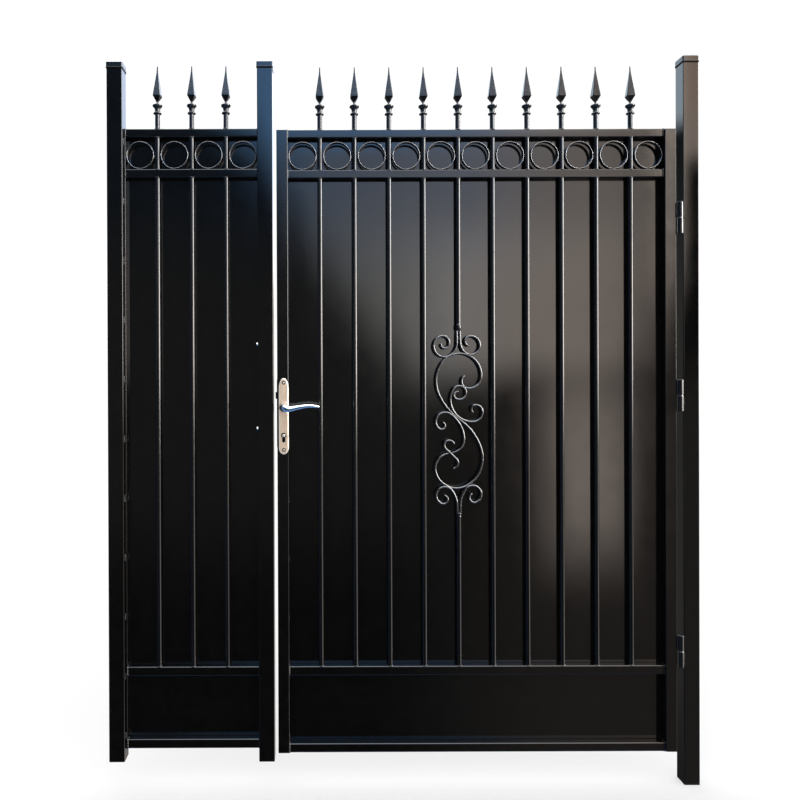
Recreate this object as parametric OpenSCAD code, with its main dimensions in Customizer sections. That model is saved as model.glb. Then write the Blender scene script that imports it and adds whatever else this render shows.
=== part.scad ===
/* [Posts] */
// Width and depth of every square post
post_w = 50; // [36:1:60]
// Wall of the post tube
post_wall = 3; // [2:0.5:4]
// Outside corner radius of the post tube
post_r = 3; // [2:0.5:5]
// How far the hinge post's cut top stands over the leaf's top
hinge_post_over = 225; // [120:1:300]
// How far the left and middle posts' cut tops stand over the leaf's top
side_post_over = 212; // [120:1:300]
// Thickness of the plate that closes a post's foot
foot_t = 5; // [3:1:10]
// How much higher the feet of the left and middle posts stand
ground_step = 80; // [0:1:150]

/* [Post caps] */
// How far a cap stands out past the post on each side
cap_lip = 2.5; // [2:0.5:4]
// Height of a cap over its lower edge
cap_h = 19; // [12:1:30]
// Thickness of the cap's top
cap_top = 4; // [2:0.5:6]
// Play between cap and post on each side
cap_play = 0.2; // [0.1:0.1:0.4]

/* [Leaf] */
// Width of the gate leaf over its stiles
leaf_w = 1284; // [1100:1:1500]
// Height of the gate leaf
leaf_h = 2012; // [1850:1:2100]
// Gap under the leaf, over the feet of the left and middle posts
under_gap = 21; // [15:1:60]
// Gap between the leaf and the hinge post
hinge_gap = 20; // [19:0.5:24]
// Gap between the leaf and the middle post
latch_gap = 11.5; // [10:0.5:20]
// Width of a stile
stile_w = 36; // [32:1:45]
// Depth of a stile
stile_d = 40; // [36:1:45]
// How far a stile ends short of the top rail's top and of the bottom rail's underside
stile_short = 4; // [0:1:8]
// Wall of the stile tube
stile_wall = 2; // [1.5:0.5:3]
// Outside corner radius of the stile tube
stile_r = 2.5; // [2:0.5:4]

/* [Rails] */
// How far the rails stand back from the stile fronts
rail_setback = 10; // [6:0.5:14]
// Depth of every rail
rail_d = 25; // [20:0.5:27]
// Height of the top rail and of the rail under the rings
slim_rail_h = 27; // [20:1:30]
// Height of the middle rail
middle_rail_h = 30; // [25:1:40]
// Height of the leaf's bottom rail
bottom_rail_h = 29; // [25:1:40]
// Height of the side panel's bottom rail
side_bottom_rail_h = 30; // [25:1:40]
// Wall of a rail tube
rail_wall = 2; // [1.5:0.5:3]
// Outside corner radius of a rail tube
rail_r = 2; // [1:0.5:3]
// Clear height of the row of rings
ring_row_h = 103; // [98:1:112]
// Clear height of the bare kick panel of the leaf
kick_h = 220; // [150:1:320]

/* [Side panel] */
// Clear width between the left and middle posts
side_w = 432; // [380:1:520]
// How much higher the side panel's upper rails sit than the leaf's
side_lift = 5; // [0:1:10]
// Gap under the side panel, over the post feet
side_under_gap = 36; // [20:1:80]

// Thickness of the upright bar at the side panel's left end
end_bar_t = 6; // [4:1:10]

/* [Sheet] */
// Thickness of the backing sheet
sheet_t = 1.5; // [1:0.5:3]

/* [Bars] */
// Diameter of the round bars
bar_d = 16; // [12:1:18]
// Number of bars in the leaf
leaf_bars_n = 10; // [8:1:12]
// Number of bars in the side panel
side_bars_n = 3; // [2:1:4]
// How far the bars stand back from the rail fronts
bar_setback = 0.5; // [0.5:0.5:3]

/* [Rings] */
// Play of a ring in its bay, between two bars and two rails
ring_play = 4.5; // [1:0.5:12]
// Thickness of the ring's strip
ring_t = 3; // [2:0.5:5]
// Depth of the ring's strip
ring_depth = 16; // [10:1:18]

/* [Finials] */
// Length of the round stub under the collar
stub_l = 45; // [30:1:60]
// Height of the collar
collar_h = 30; // [20:1:40]
// Height of each of the collar's two flanges
flange_h = 5; // [3:0.5:8]
// Diameter of the collar's top flange
collar_top_d = 32; // [28:1:38]
// Diameter of the collar's waist
collar_waist_d = 22; // [19:1:26]
// Diameter of the collar's lower flange
collar_low_d = 27; // [24:1:32]
// Diameter of the neck under the spear
neck_d = 7; // [5:0.5:12]
// Length of the neck
neck_l = 9; // [5:1:14]
// Width of the spear's foot, where it meets the neck
spear_foot_w = 9; // [8:0.5:12]
// Greatest width of the spear
spear_w = 26; // [20:1:32]
// Height of the spear's short lower part
spear_low_h = 16; // [10:1:24]
// Height of the spear's long upper part
spear_h = 96; // [70:1:110]
// Width of the blunt tip
tip_w = 4; // [2:0.5:6]

/* [Hinges] */
// Diameter of a hinge barrel
barrel_d = 18; // [14:0.5:18]
// Diameter of a hinge pin
pin_d = 10; // [7:0.5:11]
// Play between pin and sleeve, on the diameter
pin_play = 0.4; // [0.2:0.1:0.6]
// Length of each half of a hinge barrel
knuckle_l = 50; // [40:1:70]
// Thickness of the washer between the two halves
washer_t = 2; // [1:0.5:3]
// How much narrower the washer is than the barrel, on the diameter
washer_step = 2; // [1:0.5:4]
// Thickness of the closed top of a sleeve
sleeve_top = 4; // [3:0.5:8]
// How far a hinge lug stands behind the middle of its barrel
lug_setback = 2; // [0:0.5:4]
// How far a hinge lug reaches over the flat of the stile's side
lug_grip = 3.5; // [2:0.5:6]
// Height of the upper hinge below the leaf's top
upper_hinge_drop = 292; // [150:1:500]
// Height of the middle hinge below the leaf's top
middle_hinge_drop = 862; // [700:1:1100]
// Height of the lower hinge over the leaf's bottom
lower_hinge_rise = 329; // [150:1:500]

/* [Lock and handle] */
// Height of the handle's axis over the leaf's bottom
handle_z = 1117; // [900:1:1300]
// Distance of the handle's axis from the leaf's free edge
backset = 21; // [19:0.5:23]
// Width of a handle plate
plate_w = 32; // [28:1:34]
// Thickness of a handle plate
plate_t = 7; // [5:0.5:10]
// How far a plate reaches over the handle's axis
plate_up = 94; // [80:1:110]
// How far a plate reaches below the handle's axis
plate_down = 151; // [130:1:170]
// Distance of the upper plate screw over the handle's axis
screw_up = 79; // [60:1:90]
// Distance of the lower plate screw below the handle's axis
screw_down = 136; // [120:1:150]
// Distance from the handle's axis down to the lock cylinder
cylinder_drop = 90; // [85:1:92]
// Length of a lever from its axis to its tip
lever_l = 114; // [95:1:130]
// Diameter of the lever's collar
hub_d = 28; // [22:1:30]
// Clear space between a plate and its lever
lever_clear = 34; // [28:1:45]
// Thickness of a lever, front to back
lever_t = 13; // [10:1:16]
// Height of a lever, as seen from the front
lever_h = 13; // [10:1:16]
// Diameter of the neck between a lever's collar and its bar
lever_neck_d = 16; // [13:1:18]
// Thickness of a lever's collar
hub_t = 6; // [4:0.5:9]
// Gap between a plate and the lever's collar
hub_play = 0.5; // [0.3:0.1:1]
// Diameter of the boss that turns in the plate
boss_d = 20; // [17:0.5:21]
// How far the boss reaches into the plate
boss_l = 3; // [2:0.5:5]
// Play of the boss in the plate, on the diameter
boss_play = 0.8; // [0.3:0.1:1.2]
// Diameter of the round part of the lock cylinder
cylinder_d = 16.6; // [16:0.1:17]
// Width of the lock cylinder's tail
cylinder_tail_w = 9.6; // [9:0.1:10]
// How far the tail reaches below the middle of the round part
cylinder_tail_l = 22; // [18:1:25]
// Gap round the lock cylinder in a plate
cylinder_play = 0.2; // [0.1:0.1:0.5]
// How far the lock cylinder stands out of each plate
cylinder_out = 1; // [0:0.5:3]
// Gap round the spindle's and the cylinder's holes in the stile
stile_hole_play = 2; // [1:0.5:3]
// Diameter of a plate screw's head
screw_head_d = 8; // [6:0.5:9]
// Thickness of a plate screw's head
screw_head_t = 1.5; // [1:0.5:2.5]
// Side of the square spindle
spindle_w = 8; // [7:0.5:10]
// Diameter of the spindle's hole in the stile
spindle_hole_d = 20; // [16:1:24]
// Height of the latch bolt's centre over the handle's axis
latch_rise = 38; // [25:1:50]
// Height of the latch bolt
latch_h = 22; // [16:1:26]
// Thickness of the latch bolt, front to back
latch_t = 12; // [8:1:14]
// How far the latch bolt stands out of the leaf's edge
latch_out = 6; // [4:0.5:8]
// Length of the latch bolt inside the leaf
latch_in = 16; // [12:1:20]
// Gap round the latch bolt in the stile and in the keeper
latch_play = 1; // [0.5:0.5:2]
// Width of the lock's forend
forend_w = 22; // [18:1:24]
// Thickness of the forend
forend_t = 1.5; // [1:0.5:3]
// How far the forend reaches over the handle's axis
forend_up = 90; // [60:1:120]
// How far the forend reaches below the handle's axis
forend_down = 130; // [90:1:150]
// Height of the keeper in the middle post
keeper_h = 120; // [60:1:200]
// Width of the keeper
keeper_w = 24; // [18:1:30]
// Height of the upper keeper bolt over the handle's axis
keeper_bolt_up = 204; // [80:1:260]
// Depth of the lower keeper bolt below the handle's axis
keeper_bolt_down = 69; // [40:1:120]
// Diameter of a keeper bolt's head
bolt_head_d = 11; // [8:0.5:14]
// Height of a keeper bolt's head over its washer
bolt_head_h = 4; // [2:0.5:7]
// Diameter of a keeper bolt's washer
bolt_washer_d = 16; // [15:0.5:22]
// Thickness of a keeper bolt's washer
bolt_washer_t = 1.5; // [1:0.5:3]

/* [Scroll] */
// Width of the scroll's strip as seen from the front
strip_w = 6; // [4:0.5:9]
// Depth of the scroll's strip
strip_d = 14; // [10:1:18]
// Gap between the two strips where they leave a collar
stem_gap = 4; // [2:0.5:8]
// Height of the scroll
scroll_h = 590; // [500:1:700]
// Height of the scroll's centre over the leaf's bottom
scroll_z = 1069; // [900:1:1200]
// Which bar, counted from the latch side, carries the scroll
scroll_bar_no = 5; // [2:1:9]
// Length of the collars that hold the scroll on its bar
clip_l = 20; // [14:1:26]
// How far those collars stand out of the bar all round
clip_wall = 1.5; // [1:0.5:4]

/* [Hidden] */
$fn = 48;

// Greatest turn between two stations of a bent strip
strip_step = 12;

black = [0.05, 0.055, 0.06];
satin = [0.78, 0.7, 0.6];
chrome = [0.8, 0.82, 0.85];

// Across the gate: the hinge post stands over the origin
leaf_x1 = -post_w / 2 - hinge_gap;
leaf_x0 = leaf_x1 - leaf_w;
middle_post_x = leaf_x0 - latch_gap - post_w / 2;
left_post_x = middle_post_x - post_w - side_w;
side_x0 = left_post_x + post_w / 2 + end_bar_t;
side_rail_l = side_w - end_bar_t;
inner_x0 = leaf_x0 + stile_w;
inner_w = leaf_w - 2 * stile_w;
scroll_x = inner_x0 + bar_x(inner_w, leaf_bars_n, scroll_bar_no);

// Up the gate
leaf_z0 = ground_step + under_gap;
leaf_z1 = leaf_z0 + leaf_h;
side_z0 = ground_step + side_under_gap;
side_z1 = leaf_z1 + side_lift;
middle_rail_z = leaf_z0 + bottom_rail_h + kick_h;
bar_z0 = middle_rail_z + middle_rail_h;
leaf_ring_rail_z = leaf_z1 - 2 * slim_rail_h - ring_row_h;
side_ring_rail_z = side_z1 - 2 * slim_rail_h - ring_row_h;
scroll_zc = leaf_z0 + scroll_z;
hinge_post_l = leaf_z1 + hinge_post_over;
side_post_l = leaf_z1 + side_post_over - ground_step;

// Front to back
stile_y0 = -stile_d / 2;
rail_y0 = stile_y0 + rail_setback;
sheet_y0 = rail_y0 + rail_d;
bar_y = rail_y0 + bar_setback + bar_d / 2;

// Hinge line, in the gap beside the hinge post and level with its front
hinge_x = -post_w / 2 - hinge_gap / 2;
hinge_y = -post_w / 2;

// Handle line
handle_x = leaf_x0 + backset;
lever_z = leaf_z0 + handle_z;
latch_z = lever_z + latch_rise;
cylinder_z = lever_z - cylinder_drop;

// The middle post's face towards the leaf
strike_x = leaf_x0 - latch_gap;

// A square tube standing on its end
module square_tube(w, d, l, r, wall) {
  linear_extrude(l) difference() {
    rounded_rect(w, d, r);
    rounded_rect(w - 2 * wall, d - 2 * wall, max(r - wall, 0.5));
  }
}

// A rectangle round the origin with round corners
module rounded_rect(w, d, r) {
  union() {
    square([w - 2 * r, d], center = true);
    square([w, d - 2 * r], center = true);
    for (sx = [-1, 1], sy = [-1, 1]) translate([sx * (w / 2 - r), sy * (d / 2 - r)]) circle(r);
  }
}

// A rail lying along X from x0, its underside at z
module rail(x0, l, z, h) {
  translate([x0, rail_y0 + rail_d / 2, z + h / 2])
    rotate([90, 0, 90]) square_tube(rail_d, h, l, rail_r, rail_wall);
}

// A post standing at z, its foot closed by a flush plate
module post(x, z, l) {
  color(black) translate([x, 0, z]) {
    square_tube(post_w, post_w, l, post_r, post_wall);
    linear_extrude(foot_t) rounded_rect(post_w, post_w, post_r);
  }
}

// A cap slipped over the top of a post whose cut end is at z
module post_cap(x, z) {
  cap_w = post_w + 2 * cap_lip;
  bore_w = post_w + 2 * cap_play;
  color(black) translate([x, 0, z - (cap_h - cap_top)]) difference() {
    linear_extrude(cap_h) rounded_rect(cap_w, cap_w, post_r + cap_lip);
    translate([0, 0, -1]) linear_extrude(cap_h - cap_top + 1) rounded_rect(bore_w, bore_w, post_r + cap_play);
  }
}

// Clear gap between n bars that share a width w
function bar_gap(w, n) = (w - n * bar_d) / (n + 1);

// Centre of bar i, counted from 1, across a width w
function bar_x(w, n, i) = i * bar_gap(w, n) + (i - 0.5) * bar_d;

// Places children at each of n bars that share a width w from x0
module at_bars(x0, w, n) {
  for (i = [1:n]) translate([x0 + bar_x(w, n, i), 0, 0]) children();
}

// Round bars between two rails, from z0 to z1
module bar(z0, z1) {
  translate([0, bar_y, z0]) cylinder(d = bar_d, h = z1 - z0);
}

// Rings between the bars, each as large as its bay allows, standing on the ring rail
module ring_row(x0, w, n, z) {
  gap = bar_gap(w, n);
  ring_d = min(gap, ring_row_h) - ring_play;
  for (i = [0:n]) translate([x0 + i * (gap + bar_d) + gap / 2, bar_y, z + ring_d / 2]) rotate([90, 0, 0])
    difference() {
      cylinder(d = ring_d, h = ring_depth, center = true, $fn = 96);
      cylinder(d = ring_d - 2 * ring_t, h = ring_depth + 2, center = true, $fn = 96);
    }
}

// One spear finial on its stub, standing at z = 0
module finial() {
  cylinder(d = bar_d, h = stub_l);
  translate([0, 0, stub_l]) collar();
  translate([0, 0, stub_l + collar_h]) cylinder(d = neck_d, h = neck_l);
  translate([0, 0, stub_l + collar_h + neck_l]) spear();
}

// The turned collar: two flanges with a waist between them
module collar() {
  cylinder(d = collar_low_d, h = flange_h);
  cylinder(d = collar_waist_d, h = collar_h);
  translate([0, 0, collar_h - flange_h]) cylinder(d = collar_top_d, h = flange_h);
}

// The four-sided spear point: its outline carried through from the front and from the side
module spear() {
  intersection_for (turn = [0, 90]) rotate([90, 0, turn])
    linear_extrude(spear_w + 2, center = true) polygon([
      [spear_foot_w / 2, 0],
      [spear_w / 2, spear_low_h],
      [tip_w / 2, spear_low_h + spear_h],
      [-tip_w / 2, spear_low_h + spear_h],
      [-spear_w / 2, spear_low_h],
      [-spear_foot_w / 2, 0]
    ]);
}

// Backing sheet from x0 and z0 to the top of the frame
module sheet(x0, w, z0, z1) {
  color(black) translate([x0, sheet_y0, z0]) cube([w, sheet_t, z1 - z0]);
}

// Lower half of a hinge: knuckle, pin and washer, welded to the post
module hinge_pin(z) {
  color(black) translate([hinge_x, hinge_y, z]) {
    translate([0, 0, -knuckle_l]) {
      cylinder(d = barrel_d, h = knuckle_l);
      weld_lug(1);
    }
    cylinder(d = barrel_d - washer_step, h = washer_t);
    cylinder(d = pin_d, h = washer_t + knuckle_l - sleeve_top);
  }
}

// Upper half of a hinge: the sleeve that turns on the pin, welded to the leaf
module hinge_sleeve(z) {
  color(black) translate([hinge_x, hinge_y, z + washer_t]) difference() {
    union() {
      cylinder(d = barrel_d, h = knuckle_l);
      weld_lug(-1);
    }
    translate([0, 0, -1]) cylinder(d = pin_d + pin_play, h = knuckle_l - sleeve_top + 1);
  }
}

// The lug from a barrel to the steel beside it: to the post for side 1, to the leaf for side -1.
// It starts inside the barrel's wall, clear of the bore.
module weld_lug(side) {
  start = (pin_d + barrel_d) / 4;
  lug_t = stile_y0 + stile_r + lug_grip - hinge_y - lug_setback;
  translate([side > 0 ? start : -hinge_gap / 2, lug_setback, 0])
    cube([hinge_gap / 2 - start, lug_t, knuckle_l]);
}

module left_post() { post(left_post_x, ground_step, side_post_l); }
module left_post_cap() { post_cap(left_post_x, ground_step + side_post_l); }
module middle_post() {
  difference() {
    post(middle_post_x, ground_step, side_post_l);
    // Slot that the keeper is let into
    keeper_blank(1);
  }
}
module middle_post_cap() { post_cap(middle_post_x, ground_step + side_post_l); }
module hinge_post() { post(0, 0, hinge_post_l); }
module hinge_post_cap() { post_cap(0, hinge_post_l); }

module side_top_rail() { color(black) rail(side_x0, side_rail_l, side_z1 - slim_rail_h, slim_rail_h); }
module side_ring_rail() { color(black) rail(side_x0, side_rail_l, side_ring_rail_z, slim_rail_h); }
module side_middle_rail() { color(black) rail(side_x0, side_rail_l, middle_rail_z, middle_rail_h); }
module side_bottom_rail() { color(black) rail(side_x0, side_rail_l, side_z0, side_bottom_rail_h); }
module side_end_bar() {
  color(black) translate([side_x0 - end_bar_t, rail_y0, side_z0])
    cube([end_bar_t, rail_d + sheet_t, side_z1 - side_z0]);
}
module side_sheet() { sheet(side_x0, side_rail_l, side_z0, side_z1); }
module side_bars() {
  color(black) at_bars(side_x0, side_rail_l, side_bars_n) {
    bar(bar_z0, side_ring_rail_z);
    bar(side_ring_rail_z + slim_rail_h, side_z1 - slim_rail_h);
  }
}
module side_rings() {
  color(black) ring_row(side_x0, side_rail_l, side_bars_n, side_ring_rail_z + slim_rail_h);
}
module side_finials() {
  color(black) at_bars(side_x0, side_rail_l, side_bars_n) translate([0, bar_y, side_z1]) finial();
}

// The block that the keeper fills in the middle post's wall, standing out of it by extra
module keeper_blank(extra) {
  translate([strike_x - post_wall, -keeper_w / 2, latch_z - keeper_h / 2])
    cube([post_wall + extra, keeper_w, keeper_h]);
}

// The block that the latch bolt sweeps between x0 and x1, with play all round
module latch_way(x0, x1, play) {
  translate([x0, -latch_t / 2 - play, latch_z - latch_h / 2 - play])
    cube([x1 - x0, latch_t + 2 * play, latch_h + 2 * play]);
}

// Strike plate let into the middle post's wall, with a pocket facing the latch bolt
module lock_keeper() {
  color(chrome) difference() {
    keeper_blank(0);
    latch_way(strike_x - post_wall - 1, strike_x + 1, latch_play);
  }
}

// Bolt heads on the far side of the middle post
module keeper_bolts() {
  x = middle_post_x - post_w / 2;
  for (z = [lever_z + keeper_bolt_up, lever_z - keeper_bolt_down])
    color(chrome) translate([x, 0, z]) rotate([0, -90, 0]) {
      cylinder(d = bolt_washer_d, h = bolt_washer_t);
      cylinder(d = bolt_head_d, h = bolt_washer_t + bolt_head_h);
    }
}

module upper_hinge_pin() { hinge_pin(leaf_z1 - upper_hinge_drop); }
module middle_hinge_pin() { hinge_pin(leaf_z1 - middle_hinge_drop); }
module lower_hinge_pin() { hinge_pin(leaf_z0 + lower_hinge_rise); }
module upper_hinge_sleeve() { hinge_sleeve(leaf_z1 - upper_hinge_drop); }
module middle_hinge_sleeve() { hinge_sleeve(leaf_z1 - middle_hinge_drop); }
module lower_hinge_sleeve() { hinge_sleeve(leaf_z0 + lower_hinge_rise); }

// A stile whose middle stands at x
module stile(x) {
  translate([x, 0, leaf_z0 + stile_short])
    square_tube(stile_w, stile_d, leaf_h - 2 * stile_short, stile_r, stile_wall);
}

// The outline of the lock cylinder, round above and with a tail below, grown by play
module cylinder_outline(play) {
  circle(d = cylinder_d + 2 * play);
  translate([-cylinder_tail_w / 2 - play, -cylinder_tail_l - play])
    square([cylinder_tail_w + 2 * play, cylinder_tail_l + play]);
}

module latch_stile() {
  color(black) difference() {
    stile(leaf_x0 + stile_w / 2);
    // Hole for the spindle, front and back
    translate([handle_x, 0, lever_z]) rotate([90, 0, 0])
      cylinder(d = spindle_hole_d, h = stile_d + 2, center = true);
    // Hole for the lock cylinder, front and back
    translate([handle_x, 0, cylinder_z]) rotate([90, 0, 0])
      linear_extrude(stile_d + 2, center = true) cylinder_outline(stile_hole_play);
    // Mouth for the latch bolt in the free edge
    latch_way(leaf_x0 - 1, leaf_x0 + stile_wall + 1, latch_play);
  }
}
module hinge_stile() { color(black) stile(leaf_x1 - stile_w / 2); }
module leaf_top_rail() { color(black) rail(inner_x0, inner_w, leaf_z1 - slim_rail_h, slim_rail_h); }
module leaf_ring_rail() { color(black) rail(inner_x0, inner_w, leaf_ring_rail_z, slim_rail_h); }
module leaf_middle_rail() { color(black) rail(inner_x0, inner_w, middle_rail_z, middle_rail_h); }
module leaf_bottom_rail() { color(black) rail(inner_x0, inner_w, leaf_z0, bottom_rail_h); }
module leaf_sheet() { sheet(inner_x0, inner_w, leaf_z0, leaf_z1); }
module leaf_bars() {
  color(black) for (i = [1:leaf_bars_n]) translate([inner_x0 + bar_x(inner_w, leaf_bars_n, i), 0, 0]) {
    if (i != scroll_bar_no) bar(bar_z0, leaf_ring_rail_z);
    bar(leaf_ring_rail_z + slim_rail_h, leaf_z1 - slim_rail_h);
  }
}
module leaf_rings() {
  color(black) ring_row(inner_x0, inner_w, leaf_bars_n, leaf_ring_rail_z + slim_rail_h);
}
module leaf_finials() {
  color(black) at_bars(inner_x0, inner_w, leaf_bars_n) translate([0, bar_y, leaf_z1]) finial();
}

// The bar that the scroll interrupts: an upper and a lower length with a collar each
module scroll_bar() {
  color(black) translate([scroll_x, 0, 0]) {
    bar(scroll_zc + scroll_h / 2, leaf_ring_rail_z);
    bar(bar_z0, scroll_zc - scroll_h / 2);
    for (z = [scroll_zc + scroll_h / 2, scroll_zc - scroll_h / 2 - clip_l])
      translate([0, bar_y, z]) cylinder(d = bar_d + 2 * clip_wall, h = clip_l);
  }
}

// Stations along a path of pieces: each station is [x, y, heading].
// A piece is [length] where it is straight, or [radius, angle] where it bends, left for an angle above 0.
function stations(pieces, x, y, heading, i = 0) =
  i == len(pieces) ? [[x, y, heading]] :
  len(pieces[i]) == 1 ?
    concat([[x, y, heading]],
      stations(pieces, x + pieces[i][0] * cos(heading), y + pieces[i][0] * sin(heading), heading, i + 1)) :
  let (
    angle = pieces[i][1],
    r = pieces[i][0] * sign(angle),
    cx = x - r * sin(heading),
    cy = y + r * cos(heading),
    steps = ceil(abs(angle) / strip_step),
    arc = [for (k = [0:steps - 1])
      let (h = heading + angle * k / steps) [cx + r * sin(h), cy - r * cos(h), h]],
    end = heading + angle
  )
  concat(arc, stations(pieces, cx + r * sin(end), cy - r * cos(end), end, i + 1));

// A flat strip on edge that follows a path from [x, y, heading]
module strip(start, pieces) {
  path = stations(pieces, start[0], start[1], start[2]);
  left = [for (p = path) [p[0] - sin(p[2]) * strip_w / 2, p[1] + cos(p[2]) * strip_w / 2]];
  right = [for (i = [len(path) - 1:-1:0]) let (p = path[i])
    [p[0] + sin(p[2]) * strip_w / 2, p[1] - cos(p[2]) * strip_w / 2]];
  linear_extrude(strip_d, center = true) polygon(concat(left, right));
}

// The scroll, drawn in its own plane and stood upright. Each strip is forged by hand, so no two match.
module scroll() {
  stem_x = strip_w / 2 + stem_gap / 2;
  end_y = scroll_h / 2;
  color(black) translate([scroll_x, bar_y, scroll_zc]) rotate([90, 0, 0]) {
    // Two curls that part under the upper collar
    strip([-stem_x, end_y, -90], [[40], [50, -50], [35, -190], [22, -160], [12, -160]]);
    strip([stem_x, end_y, -90], [[35], [55, 35], [30, 245], [16, 165]]);
    // Two curls that rise from the lower collar
    strip([-stem_x, -end_y, 90], [[18], [90, 37], [28, 213], [14, 190]]);
    strip([stem_x, -end_y, 90], [[25], [85, -37], [28, -210], [15, -180]]);
    // The great S that runs the whole height
    strip([21, 148, -150], [
      [22, 145], [40, 90], [70, 150], [105, 60], [205, 30],
      [175, -40], [100, -75], [70, -100], [50, -105]
    ]);
    // The curl on its right, up to a small volute and out to an open hook
    strip([2, 95, 155], [[12, 175], [22, 270], [70, 125], [30, 110], [20, 70], [14, 140]]);
    // The curl on its left and below
    strip([-53, -2, -15], [[12, -200], [25, -30], [30, -150], [105, -50], [45, -90]]);
    // The small S laid over its end
    strip([-15, -76, 95], [[16, 225], [340, -8], [18, -130]]);
  }
}

// Plate on the free edge round the latch bolt
module lock_forend() {
  color(chrome) difference() {
    translate([leaf_x0 - forend_t, -forend_w / 2, lever_z - forend_down])
      cube([forend_t, forend_w, forend_up + forend_down]);
    latch_way(leaf_x0 - forend_t - 1, leaf_x0 + 1, latch_play / 2);
  }
}

// The front handle plate, with round ends and holes for the lever's boss and the lock cylinder
module front_handle_plate() {
  color(satin) translate([handle_x, stile_y0, lever_z]) rotate([90, 0, 0])
    linear_extrude(plate_t) difference() {
      union() {
        translate([-plate_w / 2, plate_w / 2 - plate_down])
          square([plate_w, plate_up + plate_down - plate_w]);
        for (y = [plate_up - plate_w / 2, plate_w / 2 - plate_down]) translate([0, y]) circle(d = plate_w);
      }
      circle(d = boss_d + boss_play);
      translate([0, -cylinder_drop]) cylinder_outline(cylinder_play);
    }
}
module back_handle_plate() { mirror([0, 1, 0]) front_handle_plate(); }

// Round screw heads on both plates
module plate_screws() {
  for (side = [0, 1], z = [lever_z + screw_up, lever_z - screw_down])
    color(chrome) mirror([0, side, 0]) translate([handle_x, stile_y0 - plate_t, z])
      rotate([90, 0, 0]) cylinder(d = screw_head_d, h = screw_head_t);
}

// Lock cylinder, right through the stile and both plates
module lock_cylinder() {
  color(chrome) translate([handle_x, 0, cylinder_z]) rotate([90, 0, 0])
    linear_extrude(stile_d + 2 * (plate_t + cylinder_out), center = true) cylinder_outline(0);
}

// The front lever: a boss in the plate, a collar, a neck and a round-ended bar towards the hinge side
module front_lever() {
  color(chrome) translate([handle_x, stile_y0 - plate_t, lever_z]) rotate([90, 0, 0]) {
    translate([0, 0, -boss_l]) cylinder(d = boss_d, h = boss_l + hub_play + hub_t / 2);
    translate([0, 0, hub_play]) cylinder(d = hub_d, h = hub_t);
    cylinder(d = lever_neck_d, h = lever_clear + lever_t);
    translate([0, -lever_h / 2, lever_clear]) cube([lever_l - lever_h / 2, lever_h, lever_t]);
    translate([lever_l - lever_h / 2, 0, lever_clear]) cylinder(d = lever_h, h = lever_t);
  }
}
module back_lever() { mirror([0, 1, 0]) front_lever(); }

// The square spindle that joins the two levers' bosses
module spindle() {
  l = stile_d + 2 * (plate_t - boss_l);
  color(chrome) translate([handle_x - spindle_w / 2, -l / 2, lever_z - spindle_w / 2])
    cube([spindle_w, l, spindle_w]);
}

// The latch bolt, which the lever draws into the leaf
module latch_bolt() { color(chrome) latch_way(leaf_x0 - latch_out, leaf_x0 + latch_in, 0); }

left_post();
left_post_cap();
middle_post();
middle_post_cap();
hinge_post();
hinge_post_cap();
side_top_rail();
side_ring_rail();
side_middle_rail();
side_bottom_rail();
side_end_bar();
side_sheet();
side_bars();
side_rings();
side_finials();
lock_keeper();
keeper_bolts();
upper_hinge_pin();
middle_hinge_pin();
lower_hinge_pin();
upper_hinge_sleeve();
middle_hinge_sleeve();
lower_hinge_sleeve();
latch_stile();
hinge_stile();
leaf_top_rail();
leaf_ring_rail();
leaf_middle_rail();
leaf_bottom_rail();
leaf_sheet();
leaf_bars();
leaf_rings();
leaf_finials();
scroll_bar();
scroll();
lock_forend();
front_handle_plate();
back_handle_plate();
plate_screws();
lock_cylinder();
front_lever();
back_lever();
spindle();
latch_bolt();
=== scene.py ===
# %% [markdown]
# A steel side gate in glossy black powder coat: two posts with a fixed panel between them, and
# a leaf with round bars, rings, spear finials and a forged scroll, hung on a third post.
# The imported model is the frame: every size below is read from it or is a maker's detail, in metres.

# %% Load the frame and keep its box
import math

import bmesh
import bpy
from mathutils import Matrix, Vector


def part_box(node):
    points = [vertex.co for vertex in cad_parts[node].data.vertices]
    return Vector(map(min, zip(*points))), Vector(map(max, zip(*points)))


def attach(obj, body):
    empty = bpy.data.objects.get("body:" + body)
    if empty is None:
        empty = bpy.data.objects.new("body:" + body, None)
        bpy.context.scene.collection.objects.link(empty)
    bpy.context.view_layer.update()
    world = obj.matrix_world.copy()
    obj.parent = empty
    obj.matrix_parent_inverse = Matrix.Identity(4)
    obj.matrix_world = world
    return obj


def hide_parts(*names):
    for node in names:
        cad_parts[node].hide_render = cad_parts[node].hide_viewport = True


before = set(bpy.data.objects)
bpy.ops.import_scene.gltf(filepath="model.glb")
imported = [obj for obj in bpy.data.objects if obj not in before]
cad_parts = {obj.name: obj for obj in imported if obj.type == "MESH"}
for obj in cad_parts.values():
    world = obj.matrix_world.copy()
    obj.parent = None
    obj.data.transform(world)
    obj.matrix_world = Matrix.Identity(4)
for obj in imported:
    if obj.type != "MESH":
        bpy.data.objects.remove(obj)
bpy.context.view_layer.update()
MM = 0.001

# %% [markdown]
# The camera stands in front of the gap between the panel and the leaf, at chest height, and looks
# almost level. A shift of the lens frames the gate without tilting its uprights.

# %% Camera
CAMERA_PLACE = (-1.2065, -2.340, 1.330)
CAMERA_LENS = 32.49
CAMERA_SHIFT = (0.106, -0.032)
CAMERA_PITCH, CAMERA_ROLL = math.radians(-0.16), math.radians(0.2)

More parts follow.
